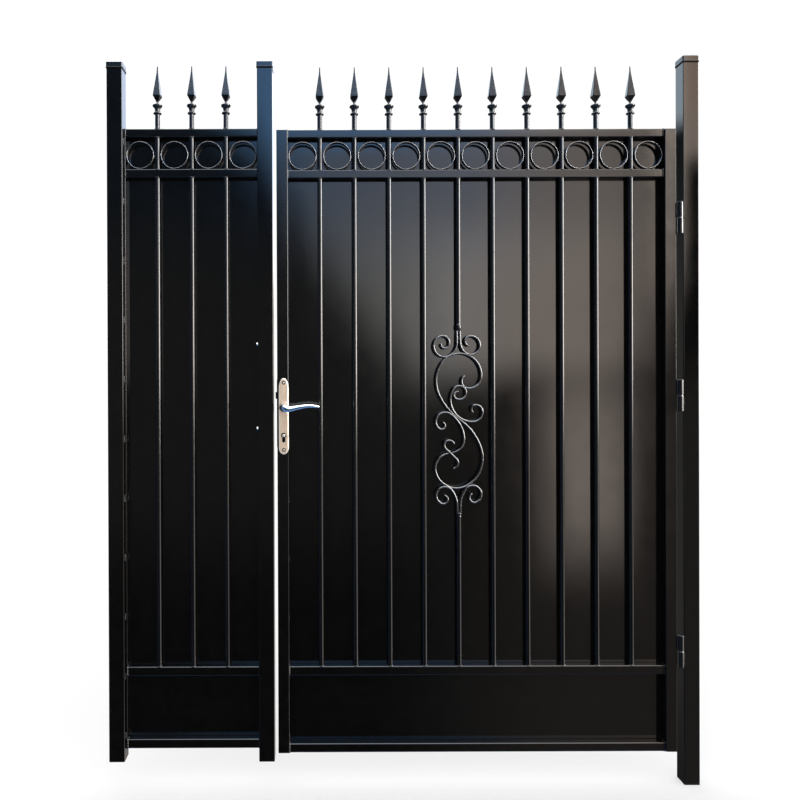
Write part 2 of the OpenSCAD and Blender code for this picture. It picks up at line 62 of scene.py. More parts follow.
camera_data = bpy.data.cameras.new("camera")
camera_data.lens = CAMERA_LENS
camera_data.sensor_width = 36
camera_data.shift_x, camera_data.shift_y = CAMERA_SHIFT
camera = bpy.data.objects.new("camera", camera_data)
camera.location = CAMERA_PLACE
camera.rotation_euler = (math.pi / 2 + CAMERA_PITCH, CAMERA_ROLL, 0)
bpy.context.scene.collection.objects.link(camera)
bpy.context.scene.camera = camera
bpy.context.scene.view_settings.view_transform = "Standard"
print("camera at", tuple(camera.location))

# %% [markdown]
# Every node tree below is written with three small helpers: one adds a node and fills its inputs with
# values or links, one runs a Math node, and one makes a soft step between two values.

# %% Helpers for node trees
def add_node(tree, kind, inputs=(), **settings):
    """A node of that kind, with its settings and its input values or links."""
    node = tree.nodes.new(kind)
    for key, value in settings.items():
        setattr(node, key, value)
    for key, value in dict(inputs).items():
        if isinstance(value, bpy.types.NodeSocket):
            tree.links.new(value, node.inputs[key])
        else:
            node.inputs[key].default_value = value
    return node


def math_node(tree, operation, first, second=0.0, third=0.0):
    """The result of one Math node."""
    values = {0: first, 1: second, 2: third}
    if operation in ("SINE", "COSINE", "ABSOLUTE", "ARCSINE"):
        values = {0: first}
    elif operation != "MULTIPLY_ADD":
        values = {0: first, 1: second}
    return add_node(tree, "ShaderNodeMath", values, operation=operation).outputs[0]


def soft_step(tree, value, start, end):
    """0 at start, 1 at end, and a smooth change between them, whichever of the two is higher."""
    inputs = {"Value": value, "From Min": start, "From Max": end}
    return add_node(tree, "ShaderNodeMapRange", inputs, interpolation_type="SMOOTHSTEP").outputs[0]


print("node helpers: add_node, math_node, soft_step")

# %% [markdown]
# A glossy black surface has hardly any colour of its own: its looks are what it mirrors. The studio
# is a plain pale room for the eye, and for reflections it holds a few large soft panels, each named
# by its direction as seen from the gate. Azimuth 0 is straight in front of the gate, and 90 is right.
# The panels' light is cool on the left and warm on the right, as where blue sky meets sunlit brick.

# %% Soft panels of the studio
# name: azimuth from and to; lower edge at those two azimuths; top; softness of sides and foot; strength
PANELS = {
    "post sky": (-12, -2.6, (26, 15.5), 90, (2, 8), 3.5),
    "left sky": (-2.6, 8.5, (13.4, -0.8), 90, (3, 8), 1.95),
    "left glow": (5, 8.5, (5, -0.3), 12, (4, 5), 0.3),
    "far left sky": (-20, -13, (23.5, 23.5), 90, (2, 2), 3.5),
    "upper band": (-2.6, 26, (17.9, 17.9), 27, (3, 1), 2.2),
    "front sky": (8.5, 24.5, (-0.3, 0.6), 90, (4, 3), 2.4),
    "front glow": (8.5, 23.6, (-0.3, 0.6), 11, (4, 5), 1.25),
    "right sky": (25.3, 26.8, (4, 8), 90, (0.6, 8), 6.6),
    "corner sky": (26.9, 31, (14.7, 14.7), 90, (0.8, 1.4), 3.4),
    "warm wall": (17.8, 23.3, (-13.4, -12.6), -0.5, (2.4, 8), 3.3),
    "left haze": (-24, 10, (-13, -13), 60, (6, 12), 0.11),
    "ground": (12, 60, (-38, -38), 0, (16, 6), 0.2),
    "right softbox": (56, 100, (-2, -2), 60, (5, 8), 27.0),
    "low right": (56, 100, (-40, -40), -2, (5, 6), 3.0),
    "left fill": (-105, -42, (-60, -60), 42, (10, 10), 0.35),
    "overhead": (-180, 180, (44, 44), 90, (14, 14), 7.0),
    "pavement": (-180, 180, (-95, -95), -44, (10, 10), 0.7),
    "behind right": (158, 200, (8, 8), 90, (8, 8), 2.3),
    "behind": (108, 204, (-70, -70), 90, (10, 10), 0.5),
    "behind left": (-200, -100, (17, 17), 90, (8, 1.6), 2.3),
    "low behind left": (-175, -130, (-24, -24), 12, (8, 16), 0.16),
}
print("studio panels:", ", ".join(PANELS))

# %% [markdown]
# The colour of the light changes along the horizon and with height. Three tables give it by azimuth,
# for light from the sky, from low down and from high up. Two plain tints serve overhead and underfoot.

# %% Tints of the studio's light
SKY_TINTS = {
    -115: (0.76, 0.89, 1.0), -100: (0.25, 0.5, 1.0), -40: (0.25, 0.5, 1.0), -15: (0.4, 0.66, 1.0),
    -3.6: (0.24, 0.53, 1.0), -1: (0.52, 0.7, 1.0), 7: (0.72, 0.8, 1.0), 12.6: (0.75, 0.82, 1.0),
    15.5: (0.96, 0.93, 1.0), 18: (1.0, 0.9, 0.85), 24: (1.0, 0.88, 0.79), 26.6: (1.0, 0.86, 0.74),
    27.3: (1.0, 0.77, 0.63), 34: (1.0, 0.95, 0.9), 100: (0.9, 0.95, 1.0), 130: (0.68, 0.79, 1.0),
}
LOW_TINTS = {
    -115: (1.0, 0.98, 0.93), -100: (0.25, 0.5, 1.0), -40: (0.25, 0.5, 1.0), -22: (1.0, 1.0, 1.0),
    4: (1.0, 1.0, 0.97), 8: (1.0, 0.98, 0.94),
    12.6: (1.0, 0.92, 0.86), 16: (1.0, 0.86, 0.76), 26: (1.0, 0.84, 0.74), 34: (1.0, 0.95, 0.9),
}
TOP_TINTS = {
    -115: (0.7, 0.87, 1.0), -100: (0.25, 0.5, 1.0), -40: (0.25, 0.5, 1.0), -15: (0.4, 0.66, 1.0),
    -3.6: (0.24, 0.53, 1.0), 0: (0.24, 0.53, 1.0), 7: (0.25, 0.54, 1.0), 12.6: (0.42, 0.62, 1.0),
    15.5: (0.76, 0.81, 1.0), 18: (0.96, 0.91, 0.92), 24: (1.0, 0.88, 0.8), 26.6: (1.0, 0.86, 0.74),
    27.3: (1.0, 0.66, 0.48), 34: (1.0, 0.95, 0.9), 100: (0.9, 0.95, 1.0), 130: (0.68, 0.79, 1.0),
}
UNDER_TINT = (0.25, 0.5, 1.0)
OVERHEAD_TINT = (1.0, 0.97, 0.93)
# elevations between which one tint gives way to the next, and between which the light dims
SKY_FROM, SKY_TO = 5, 15
TOP_FROM, TOP_TO = 17.3, 18.3
OVERHEAD_FROM, OVERHEAD_TO = 40, 47
UNDER_FROM, UNDER_TO = -38, -46
DIM_FROM, DIM_TO = 27, 33
DIMMING = 0.22
DARKEST = 0.025
ROOM_BRIGHTNESS = 1.05
print("azimuths with a tint:", len(SKY_TINTS), "sky,", len(LOW_TINTS), "low,", len(TOP_TINTS), "high up")

# %% [markdown]
# The world's shader turns the direction of each ray into an azimuth and an elevation in degrees. A
# panel is then a product of soft steps, one for each of its edges.

# %% Direction of a ray, and one panel's light
world = bpy.data.worlds.new("studio")
world.use_nodes = True
bpy.context.scene.world = world
sky = world.node_tree
sky.nodes.clear()
direction = add_node(sky, "ShaderNodeTexCoord").outputs["Generated"]
axes = add_node(sky, "ShaderNodeSeparateXYZ", {0: direction}).outputs
away = math_node(sky, "MULTIPLY", axes["Y"], -1.0)
to_degrees = 180 / math.pi
azimuth = math_node(sky, "MULTIPLY", math_node(sky, "ARCTAN2", axes["X"], away), to_degrees)
elevation = math_node(sky, "MULTIPLY", math_node(sky, "ARCSINE", axes["Z"]), to_degrees)


def panel_light(low, high, bottoms, top, softness, strength):
    """The brightness of one soft panel, as a socket."""
    side, half = softness[0] / 2, softness[1] / 2
    along = {
        "Value": azimuth, "From Min": low, "From Max": high,
        "To Min": bottoms[0], "To Max": bottoms[1],
    }
    bottom = add_node(sky, "ShaderNodeMapRange", along).outputs[0]
    above = math_node(sky, "SUBTRACT", elevation, bottom)
    edges = [
        soft_step(sky, azimuth, low - side, low + side),
        soft_step(sky, azimuth, high + side, high - side),
        soft_step(sky, above, -half, half),
    ]
    if top < 90:
        edges.append(soft_step(sky, elevation, top + half, top - half))
    level = strength
    for edge in edges:
        level = math_node(sky, "MULTIPLY", edge, level)
    return level


print("rays are told apart by azimuth and elevation")

# %% [markdown]
# The panels' brightness adds up, and the tints colour the sum. Only the gloss sees this light. All
# else sees an even pale room, so the background and the shadows stay plain.

# %% Light of the studio
def tint_by_azimuth(stops):
    """A colour that changes along the horizon, as a socket."""
    turn = {"Value": azimuth, "From Min": -180, "From Max": 180}
    share = add_node(sky, "ShaderNodeMapRange", turn).outputs[0]
    ramp = add_node(sky, "ShaderNodeValToRGB", {"Fac": share})
    ramp.color_ramp.elements.remove(ramp.color_ramp.elements[1])
    for place, colour in stops.items():
        stop = ramp.color_ramp.elements.new((place + 180) / 360)
        stop.color = (*colour, 1)
    ramp.color_ramp.elements.remove(ramp.color_ramp.elements[0])
    return ramp.outputs["Color"]


def mix_colours(factor, first, second):
    """A blend of two colour sockets."""
    inputs = {"Factor": factor, "A": first, "B": second}
    return add_node(sky, "ShaderNodeMix", inputs, data_type="RGBA").outputs["Result"]


brightness = DARKEST
for values in PANELS.values():
    brightness = math_node(sky, "ADD", panel_light(*values), brightness)
dimming = math_node(sky, "MULTIPLY_ADD", soft_step(sky, elevation, DIM_FROM, DIM_TO), -DIMMING, 1.0)
brightness = math_node(sky, "MULTIPLY", brightness, dimming)
high = soft_step(sky, elevation, SKY_FROM, SKY_TO)
tint = mix_colours(high, tint_by_azimuth(LOW_TINTS), tint_by_azimuth(SKY_TINTS))
tint = mix_colours(soft_step(sky, elevation, TOP_FROM, TOP_TO), tint, tint_by_azimuth(TOP_TINTS))
overhead = soft_step(sky, elevation, OVERHEAD_FROM, OVERHEAD_TO)
tint = mix_colours(overhead, tint, (*OVERHEAD_TINT, 1.0))
underfoot = soft_step(sky, elevation, UNDER_FROM, UNDER_TO)
tint = mix_colours(underfoot, tint, (*UNDER_TINT, 1.0))
scaled = {0: tint, "Scale": brightness}
mirrored = add_node(sky, "ShaderNodeVectorMath", scaled, operation="SCALE").outputs[0]
is_glossy = add_node(sky, "ShaderNodeLightPath").outputs["Is Glossy Ray"]
room = (ROOM_BRIGHTNESS, ROOM_BRIGHTNESS, ROOM_BRIGHTNESS, 1.0)
seen = add_node(sky, "ShaderNodeMix", {"Factor": is_glossy, "A": room, "B": mirrored}, data_type="RGBA")
light = add_node(sky, "ShaderNodeBackground", {"Color": seen.outputs["Result"]})
add_node(sky, "ShaderNodeOutputWorld", {"Surface": light.outputs[0]})
print("studio light made of", len(sky.nodes), "nodes")

# %% [markdown]
# The floor is plain, pale and matt, and glows a little, so that only the gate's soft shadow shows on
# it. It is left out of the gloss, because the coat mirrors the studio's panels alone.

# %% Pale floor
FLOOR_HALF = 30.0
FLOOR_PALE = (0.62, 0.62, 0.62, 1)
FLOOR_GLOW = 0.4
FLOOR_ROUGHNESS = 0.9
floor_mesh = bpy.data.meshes.new("floor")
corners = [(-FLOOR_HALF, -FLOOR_HALF, 0), (FLOOR_HALF, -FLOOR_HALF, 0)]
corners += [(FLOOR_HALF, FLOOR_HALF, 0), (-FLOOR_HALF, FLOOR_HALF, 0)]
floor_mesh.from_pydata(corners, [], [(0, 1, 2, 3)])
floor = bpy.data.objects.new("floor", floor_mesh)
bpy.context.scene.collection.objects.link(floor)
floor.visible_glossy = False
floor_paint = bpy.data.materials.new("floor_paint")
floor_paint.use_nodes = True
floor_shader = floor_paint.node_tree.nodes["Principled BSDF"]
floor_shader.inputs["Base Color"].default_value = FLOOR_PALE
floor_shader.inputs["Emission Color"].default_value = (1, 1, 1, 1)
floor_shader.inputs["Emission Strength"].default_value = FLOOR_GLOW
floor_shader.inputs["Roughness"].default_value = FLOOR_ROUGHNESS
floor_shader.inputs["Specular IOR Level"].default_value = 0.0
floor_mesh.materials.append(floor_paint)
print("floor laid at the foot of the hinge post")

# %% [markdown]
# Each finish is a Principled shader whose colour, roughness and bumps follow noise. The noise reads
# the object's own coordinates, so it keeps its size and stays on its piece when the piece moves.

# %% Helpers for materials
def new_material(name):
    """A material with a Principled shader. Returns it with its tree and its shader node."""
    material = bpy.data.materials.new(name)
    material.use_nodes = True
    tree = material.node_tree
    return material, tree, tree.nodes["Principled BSDF"]


def set_inputs(shader, **values):
    """Values on the shader's own sockets: Base_Color means its input called Base Color."""
    for key, value in values.items():
        shader.inputs[key.replace("_", " ")].default_value = value


def noise_texture(tree, scale, detail=2.0, stretch=(1, 1, 1)):
    """Noise over the object's own coordinates, in cells per metre."""
    place = add_node(tree, "ShaderNodeTexCoord").outputs["Object"]
    mapped = add_node(tree, "ShaderNodeMapping", {"Vector": place, "Scale": stretch}).outputs[0]
    inputs = {"Vector": mapped, "Scale": scale, "Detail": detail}
    return add_node(tree, "ShaderNodeTexNoise", inputs).outputs["Fac"]


def value_ramp(tree, value, low, high, start=0.3, end=0.7):
    """Turns a noise value into one between low and high."""
    inputs = {"Value": value, "From Min": start, "From Max": end, "To Min": low, "To Max": high}
    return add_node(tree, "ShaderNodeMapRange", inputs).outputs[0]


def colour_mix(tree, factor, first, second):
    """A blend of two colours by a value."""
    inputs = {"Factor": factor, "A": (*first, 1), "B": (*second, 1)}
    return add_node(tree, "ShaderNodeMix", inputs, data_type="RGBA").outputs["Result"]


def bumps(tree, *layers):
    """A normal from several layers of (height, strength, distance)."""
    normal = None
    for height, strength, distance in layers:
        inputs = {"Height": height, "Strength": strength, "Distance": distance}
        if normal:
            inputs["Normal"] = normal
        normal = add_node(tree, "ShaderNodeBump", inputs).outputs[0]
    return normal


def join_finish(tree, shader, colour, rough, *layers):
    """Joins a colour, a roughness and layers of bumps to the shader."""
    sockets = {"Base Color": colour, "Roughness": rough, "Normal": bumps(tree, *layers)}
    for name, socket in sockets.items():
        tree.links.new(socket, shader.inputs[name])


print("material helpers: noise_texture, value_ramp, colour_mix, bumps, join_finish")

# %% [markdown]
# Black powder coat: a near-black base under a clear gloss. Fine orange peel from the oven breaks up
# the reflections, a slow unevenness in the film bends them, and a little dust dulls them.

# %% Black powder coat
COAT_BLACK, COAT_DUST = (0.0016, 0.0016, 0.0017), (0.003, 0.003, 0.003)


def powder_coat(name, gloss=(0.09, 0.13), wave=0.25):
    """Black powder coat, with its roughness range and how strongly the surface waves."""
    material, tree, shader = new_material(name)
    dust = noise_texture(tree, 35, detail=6)
    colour = colour_mix(tree, value_ramp(tree, dust, 0, 1), COAT_BLACK, COAT_DUST)
    rough = value_ramp(tree, noise_texture(tree, 18, detail=5), *gloss)
    peel = noise_texture(tree, 420, detail=2)
    slow = noise_texture(tree, 5, detail=1, stretch=(1, 1, 0.35))
    join_finish(tree, shader, colour, rough, (slow, wave, 0.002), (peel, 0.045, 0.0006))
    return material


black_coat = powder_coat("black_powder_coat")
sheet_coat = powder_coat("black_coat_on_sheet", gloss=(0.08, 0.11), wave=0.3)
print("black powder coat ready")

# %% [markdown]
# A finished piece is one mesh object at the origin that rides on a body of the gate. Mesh code builds
# it, modifiers such as Bevel soften it, and it is then settled: its modifiers' result becomes its own
# plain mesh. Weighted normals keep wide flats flat in the gloss, though the corners are shaded round.

# %% Helpers for pieces
def loose_object(name, mesh):
    """A new object of that mesh in the scene."""
    piece = bpy.data.objects.new(name, mesh)
    bpy.context.scene.collection.objects.link(piece)
    return piece


def close_up(bm):
    """Merges doubled points and turns every face outwards."""
    bmesh.ops.remove_doubles(bm, verts=bm.verts, dist=1e-7)
    bmesh.ops.recalc_face_normals(bm, faces=bm.faces)


def object_from(name, bm):
    """Turns a bmesh into an object, with its doubles merged and its faces outwards."""
    close_up(bm)
    mesh = bpy.data.meshes.new(name)
    bm.to_mesh(mesh)
    bm.free()
    return loose_object(name, mesh)


def settle(piece):
    """Makes the result of a piece's modifiers its own plain mesh."""
    graph = bpy.context.evaluated_depsgraph_get()
    result = bpy.data.meshes.new_from_object(piece.evaluated_get(graph))
    piece.modifiers.clear()
    piece.data = result
    return piece


def shade_round(piece, angle=35):
    """Smooth shading up to that angle in degrees, weighted by the size of the faces."""
    piece.data.shade_smooth()
    piece.data.set_sharp_from_angle(angle=math.radians(angle))
    weighted = piece.modifiers.new("flats", "WEIGHTED_NORMAL")
    weighted.keep_sharp = True
    return settle(piece)


def soften(piece, width, segments=2, angle=40):
    """Rounds the edges that are sharper than that angle in degrees."""
    bevel = piece.modifiers.new("soft_edges", "BEVEL")
    bevel.width = width
    bevel.segments = segments
    bevel.angle_limit = math.radians(angle)
    settle(piece)
    return shade_round(piece, angle + 15)


def cut(piece, *cutters):
    """Takes each cutter out of the piece, and throws the cutters away."""
    for cutter in cutters:
        boolean = piece.modifiers.new("cut", "BOOLEAN")
        boolean.object = cutter
        boolean.solver = "EXACT"
        settle(piece)
        bpy.data.objects.remove(cutter)
    return piece


def fit_out(piece, material, body, slot, *nodes):
    """Gives a finished piece its material and its body, in place of CAD nodes. The slot is not used."""
    piece.data.materials.clear()
    piece.data.materials.append(material)
    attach(piece, body)
    if nodes:
        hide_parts(*nodes)
    return piece


print("piece helpers: object_from, settle, shade_round, soften, cut, fit_out")

# %% [markdown]
# Most pieces here are skins stretched over a row of closed loops of points. A section is drawn once,
# as a rounded rectangle or a circle, and carried along the piece.

# %% Loops and skins
CORNER_STEPS = 6


def rounded_rectangle(width, height, radius):
    """Points round a rectangle with round corners, anticlockwise."""
    points = []
    for corner, (side_x, side_y) in enumerate(((1, 1), (-1, 1), (-1, -1), (1, -1))):
        centre = Vector((side_x * (width / 2 - radius), side_y * (height / 2 - radius)))
        for step in range(CORNER_STEPS + 1):
            angle = math.pi / 2 * (corner + step / CORNER_STEPS)
            points.append(centre + radius * Vector((math.cos(angle), math.sin(angle))))
    return points


def circle(radius, height, count=28):
    """Points round a circle at a height."""
    angles = [2 * math.pi * step / count for step in range(count)]
    return [Vector((radius * math.cos(a), radius * math.sin(a), height)) for a in angles]


def level_loop(section, middle, height):
    """A flat section laid level round a middle, at a height."""
    return [Vector((middle.x + p.x, middle.y + p.y, height)) for p in section]


def join_loops(bm, first, second):
    """A band of faces between two closed loops of as many points."""
    for index in range(len(first)):
        after = (index + 1) % len(first)
        bm.faces.new((first[index], first[after], second[after], second[index]))


def stack_loops(bm, loops, closed=False):
    """Joins a row of loops of 3-D points into a skin, closed on itself or with a face at each end."""
    rows = [[bm.verts.new(point) for point in loop] for loop in loops]
    for first, second in zip(rows, rows[1:]):
        join_loops(bm, first, second)
    if closed:
        join_loops(bm, rows[-1], rows[0])
    else:
        bm.faces.new(rows[0])
        bm.faces.new(rows[-1])
    return rows


print("a rounded rectangle has", len(rounded_rectangle(1, 1, 0.1)), "points")

# %% [markdown]
# The posts, stiles and rails are square steel tube, cold-formed with round corners and sawn to
# length. A box with bevelled edges would look right from outside, but a tube shows its wall at a sawn
# end. So the section is drawn as two loops with the same number of points, and both are carried along.

# %% Square tube
LEAST_CORNER = 0.6 * MM


def tube_between(bm, low, high, radius, wall, axis):
    """A square tube that fills a box from its low to its high corner, open at both ends of its axis."""
    across = [a for a in range(3) if a != axis]
    size = high - low
    middle = (low + high) / 2
    loops = []
    for inset, ends in ((0, (low, high)), (wall, (high, low))):
        corner = max(radius - inset, LEAST_CORNER)
        section = rounded_rectangle(size[across[0]] - 2 * inset, size[across[1]] - 2 * inset, corner)
        for end in ends:
            loop = []
            for point in section:
                place = middle.copy()
                place[axis] = end[axis]
                place[across[0]] += point.x
                place[across[1]] += point.y
                loop.append(place)
            loops.append(loop)
    stack_loops(bm, loops, closed=True)


def tube(name, node, radius, wall, axis):
    """A tube over the whole box of a CAD node, as an object."""
    bm = bmesh.new()
    tube_between(bm, *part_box(node), radius, wall, axis)
    return object_from(name, bm)


def block(name, low, high, width=0.0, segments=2):
    """A box from its low to its high corner, with softened edges where a width is given."""
    bm = bmesh.new()
    bmesh.ops.create_cube(bm, size=1)
    size = high - low
    for vert in bm.verts:
        vert.co = Vector([low[a] + (vert.co[a] + 0.5) * size[a] for a in range(3)])
    piece = object_from(name, bm)
    return soften(piece, width, segments) if width else piece


print("tube and block helpers ready")

# %% [markdown]
# Each post stands on a plate that is welded flush into its foot, and the grinding leaves a hairline
# there. A long straight tube is never quite flat: the slow waves of its faces come from the coat's bump.

# %% Posts on their foot plates
POST_WALL = 3 * MM
POST_RADIUS = 2 * MM
FOOT_PLATE = 5 * MM
FOOT_SEAM = 0.5 * MM
FOOT_EDGE = 0.8 * MM

post_coat = powder_coat("black_coat_on_posts", gloss=(0.03, 0.055), wave=0.2)


def post(node):
    """A post: its foot plate, a fine seam, and the tube above it."""
    low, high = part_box(node)
    bm = bmesh.new()
    tube_between(bm, low + Vector((0, 0, FOOT_PLATE)), high, POST_RADIUS, POST_WALL, 2)
    middle = (low + high) / 2
    width = high.x - low.x
    loops = []
    ground = ((FOOT_EDGE, 0), (0, FOOT_EDGE), (0, FOOT_PLATE - FOOT_SEAM), (0.3 * MM, FOOT_PLATE))
    for inset, height in ground:
        section = rounded_rectangle(width - 2 * inset, width - 2 * inset, POST_RADIUS)
        loops.append(level_loop(section, middle, low.z + height))
    stack_loops(bm, loops)
    return object_from(node + "_tube", bm)


def box_cutter(low, high):
    """A plain box to cut with."""
    return block("cutter", Vector(low), Vector(high))


BEYOND = 5 * MM
keeper_low, keeper_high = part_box("lock_keeper")
for node in ("left_post", "middle_post", "hinge_post"):
    piece = post(node)
    if node == "middle_post":
        cut(piece, box_cutter(keeper_low, keeper_high + Vector((BEYOND, 0, 0))))
    fit_out(shade_round(piece), post_coat, "posts", "black_coat", node)

# %% [markdown]
# A pressed steel cap closes each post. Seen from the side it is a lip that stands out over the tube
# and turns in below, a plain face and a low chamfer up to the flat top, so it is a stack of loops
# with round corners whose width and height follow that outline, from the inside to the top.

# %% Post caps
CAP_SKIRT = 4 * MM
CAP_LIP = 5 * MM
CAP_LIP_STEP = 0.9 * MM
CAP_CROWN = 2.5 * MM
CAP_CHAMFER, CAP_CHAMFER_RISE = 6 * MM, 4.2 * MM
CAP_INSIDE = 15 * MM
CAP_BORE = 25.2 * MM
CAP_SOFT = 0.5 * MM
CAP_CORNER = 4 * MM


def post_cap(node):
    """A cap from its outline: half width and height of each loop, from inside to the top."""
    low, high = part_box(node)
    middle = (low + high) / 2
    half = (high.x - low.x) / 2
    body = half - CAP_LIP_STEP
    top = high.z - low.z + CAP_CROWN
    shoulder = top - CAP_CHAMFER_RISE
    foot = -CAP_SKIRT
    soft = CAP_SOFT
    outline = [
        (CAP_BORE - 9 * MM, CAP_INSIDE), (CAP_BORE, CAP_INSIDE - soft), (CAP_BORE, foot + soft),
        (CAP_BORE + soft, foot), (half - 3.2 * soft, foot), (half - 2.6 * soft, foot + soft),
        (half - soft / 4, foot + CAP_LIP - soft), (half, foot + CAP_LIP),
        (half - soft / 2, foot + CAP_LIP + soft),
        (body, foot + CAP_LIP + 2 * soft), (body, shoulder - soft), (body - soft, shoulder + soft / 2),
        (body - CAP_CHAMFER, top - soft / 2), (body - CAP_CHAMFER - 2 * soft, top),
        (body - 2 * CAP_CHAMFER, top),
    ]
    bm = bmesh.new()
    loops = []
    for half_width, height in outline:
        section = rounded_rectangle(2 * half_width, 2 * half_width, min(CAP_CORNER, half_width / 2))
        loops.append(level_loop(section, middle, low.z + height))
    stack_loops(bm, loops)
    return shade_round(object_from(node + "_pressed", bm), 30)


cap_coat = powder_coat("black_coat_on_caps", gloss=(0.08, 0.12), wave=0.1)
for node in ("left_post_cap", "middle_post_cap", "hinge_post_cap"):
    fit_out(post_cap(node), cap_coat, "posts", "cap", node)
print("three caps on the posts")

# %% [markdown]
# The leaf's two stiles are tubes too. The latch stile is drilled for the spindle, cut out for the lock
# cylinder and slotted for the latch bolt. Boolean cuts do that on the plain tube, before its normals
# are weighted.

# %% Stiles
STILE_WALL = 2 * MM
STILE_RADIUS = 2 * MM
HOLE_SIDES = 48
SPINDLE_HOLE = 10 * MM
LATCH_PLAY = 1 * MM
CYLINDER_PLAY = 2 * MM


def facing(out, place):
    """The move that turns a part's Z to face out and carries it to its place."""
    turn = Vector(out).to_track_quat("Z", "Y").to_matrix().to_4x4()
    return Matrix.Translation(place) @ turn


def rod(name, start, end, radius, sides=HOLE_SIDES):
    """A plain round rod between two points, as an object."""
    start, end = Vector(start), Vector(end)
    bm = bmesh.new()
    bmesh.ops.create_cone(
        bm, cap_ends=True, segments=sides, radius1=radius, radius2=radius,
        depth=(end - start).length, matrix=facing(end - start, (start + end) / 2),
    )
    return object_from(name, bm)


stile_low, stile_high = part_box("latch_stile")
spindle_low, spindle_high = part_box("spindle")
handle = (spindle_low + spindle_high) / 2
cylinder_low, cylinder_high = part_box("lock_cylinder")
bolt_low, bolt_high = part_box("latch_bolt")

latch_stile = tube("latch_stile_tube", "latch_stile", STILE_RADIUS, STILE_WALL, 2)
through = (stile_low.y - BEYOND, stile_high.y + BEYOND)
play = Vector((CYLINDER_PLAY, 0, CYLINDER_PLAY))
mouth = Vector((0, LATCH_PLAY, LATCH_PLAY))
cut(
    latch_stile,
    rod("cutter", (handle.x, through[0], handle.z), (handle.x, through[1], handle.z), SPINDLE_HOLE),
    box_cutter(cylinder_low - play, cylinder_high + play),
    box_cutter(bolt_low - mouth, Vector((stile_low.x + STILE_WALL * 1.5, *(bolt_high + mouth).yz))),
)
fit_out(shade_round(latch_stile), black_coat, "leaf", "black_coat", "latch_stile")
hinge_stile = tube("hinge_stile_tube", "hinge_stile", STILE_RADIUS, STILE_WALL, 2)
fit_out(shade_round(hinge_stile), black_coat, "leaf", "black_coat", "hinge_stile")
for stile in (latch_stile, hinge_stile):
    print(stile.name, "has", len(stile.data.polygons), "faces")

# %% [markdown]
# A plastic plug closes each stile at both ends, as it would otherwise fill with rain. A plug is a
# stack of rounded rectangles too, from the middle of its face out to its edge and down into the tube.

# %% End plugs of the stiles
PLUG_RECESS = 0.4 * MM
PLUG_DEPTH = 12 * MM
PLUG_CORNER = 1.5 * MM
# inset from the tube's bore and depth of each loop, in millimetres
PLUG_PROFILE = ((9, 0.2), (5, 0), (0.9, 0.2), (0.2, 0.8), (0.05, 2), (0.05, PLUG_DEPTH / MM))


def moulded_plastic(name, colour, rough):
    """Moulded plastic with a fine spark-eroded grain."""
    material, tree, shader = new_material(name)
    grain = noise_texture(tree, 1400, detail=3)
    cloud = value_ramp(tree, noise_texture(tree, 60, 4), 0, 1)
    tint = colour_mix(tree, cloud, colour, [1.4 * c for c in colour])
    join_finish(tree, shader, tint, value_ramp(tree, grain, *rough), (grain, 0.2, 0.0002))
    return material


plug_plastic = moulded_plastic("black_plastic_plugs", (0.012, 0.012, 0.013), (0.38, 0.5))
plugs = bmesh.new()
for node in ("latch_stile", "hinge_stile"):
    low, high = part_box(node)
    middle = (low + high) / 2
    size = high - low
    for end, inward in ((high.z, -1), (low.z, 1)):
        loops = []
        for inset, depth in PLUG_PROFILE:
            inset += STILE_WALL / MM
            section = rounded_rectangle(size.x - 2 * inset * MM, size.y - 2 * inset * MM, PLUG_CORNER)
            height = end + inward * (PLUG_RECESS + depth * MM)
            loops.append(level_loop(section, middle, height))
        stack_loops(plugs, loops)
plug_piece = shade_round(object_from("stile_end_plugs", plugs), 50)
fit_out(plug_piece, plug_plastic, "leaf", "black_coat")
print("four end plugs,", len(plug_piece.data.polygons), "faces")

# %% [markdown]
# Eight rails run between the uprights. Their upper front edge carries the bright line that draws the
# gate's grid. Its width is the corner radius of the tube, so that radius matters more than any other.

# %% Rails
RAIL_WALL = 2 * MM
RAIL_RADIUS = 3.4 * MM
END_BAR_EDGE = 1.2 * MM
PANELS_ON = (("side", "posts"), ("leaf", "leaf"))
RAIL_PLACES = ("top", "ring", "middle", "bottom")

rail_coat = powder_coat("black_coat_on_rails", gloss=(0.08, 0.12), wave=0.15)
for panel, body in PANELS_ON:
    for place in RAIL_PLACES:
        node = f"{panel}_{place}_rail"
        piece = shade_round(tube(node + "_tube", node, RAIL_RADIUS, RAIL_WALL, 0))
        fit_out(piece, rail_coat, body, "black_coat", node)
end_bar = block("side_end_bar_flat", *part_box("side_end_bar"), END_BAR_EDGE)
fit_out(end_bar, rail_coat, "posts", "black_coat", "side_end_bar")
print("eight rails and the side panel's flat end bar")

# %% [markdown]
# Behind the bars a thin steel sheet closes each panel. It is tacked to the rails, and between them it
# is free to buckle by a fraction of a millimetre, which is enough to bend what it mirrors. A grid of
# points follows smooth noise, faded out at every rail and edge, so the buckles are real geometry.

# %% Backing sheets
from mathutils import noise

BUCKLE = 0.9 * MM
BUCKLE_SIZE = 0.33
GRIP = 0.06
SHEET_STEP = 0.022


def buckle(x, z, held_at, low, high):
    """How far the sheet stands forward or back at a place."""
    free = min(abs(z - rail) for rail in held_at)
    free = min(free, x - low.x, high.x - x)
    fade = min(free / GRIP, 1.0)
    shape = noise.noise(Vector((x / BUCKLE_SIZE, z / BUCKLE_SIZE * 0.6, 4.2)))
    return BUCKLE * shape * fade * fade * (3 - 2 * fade)


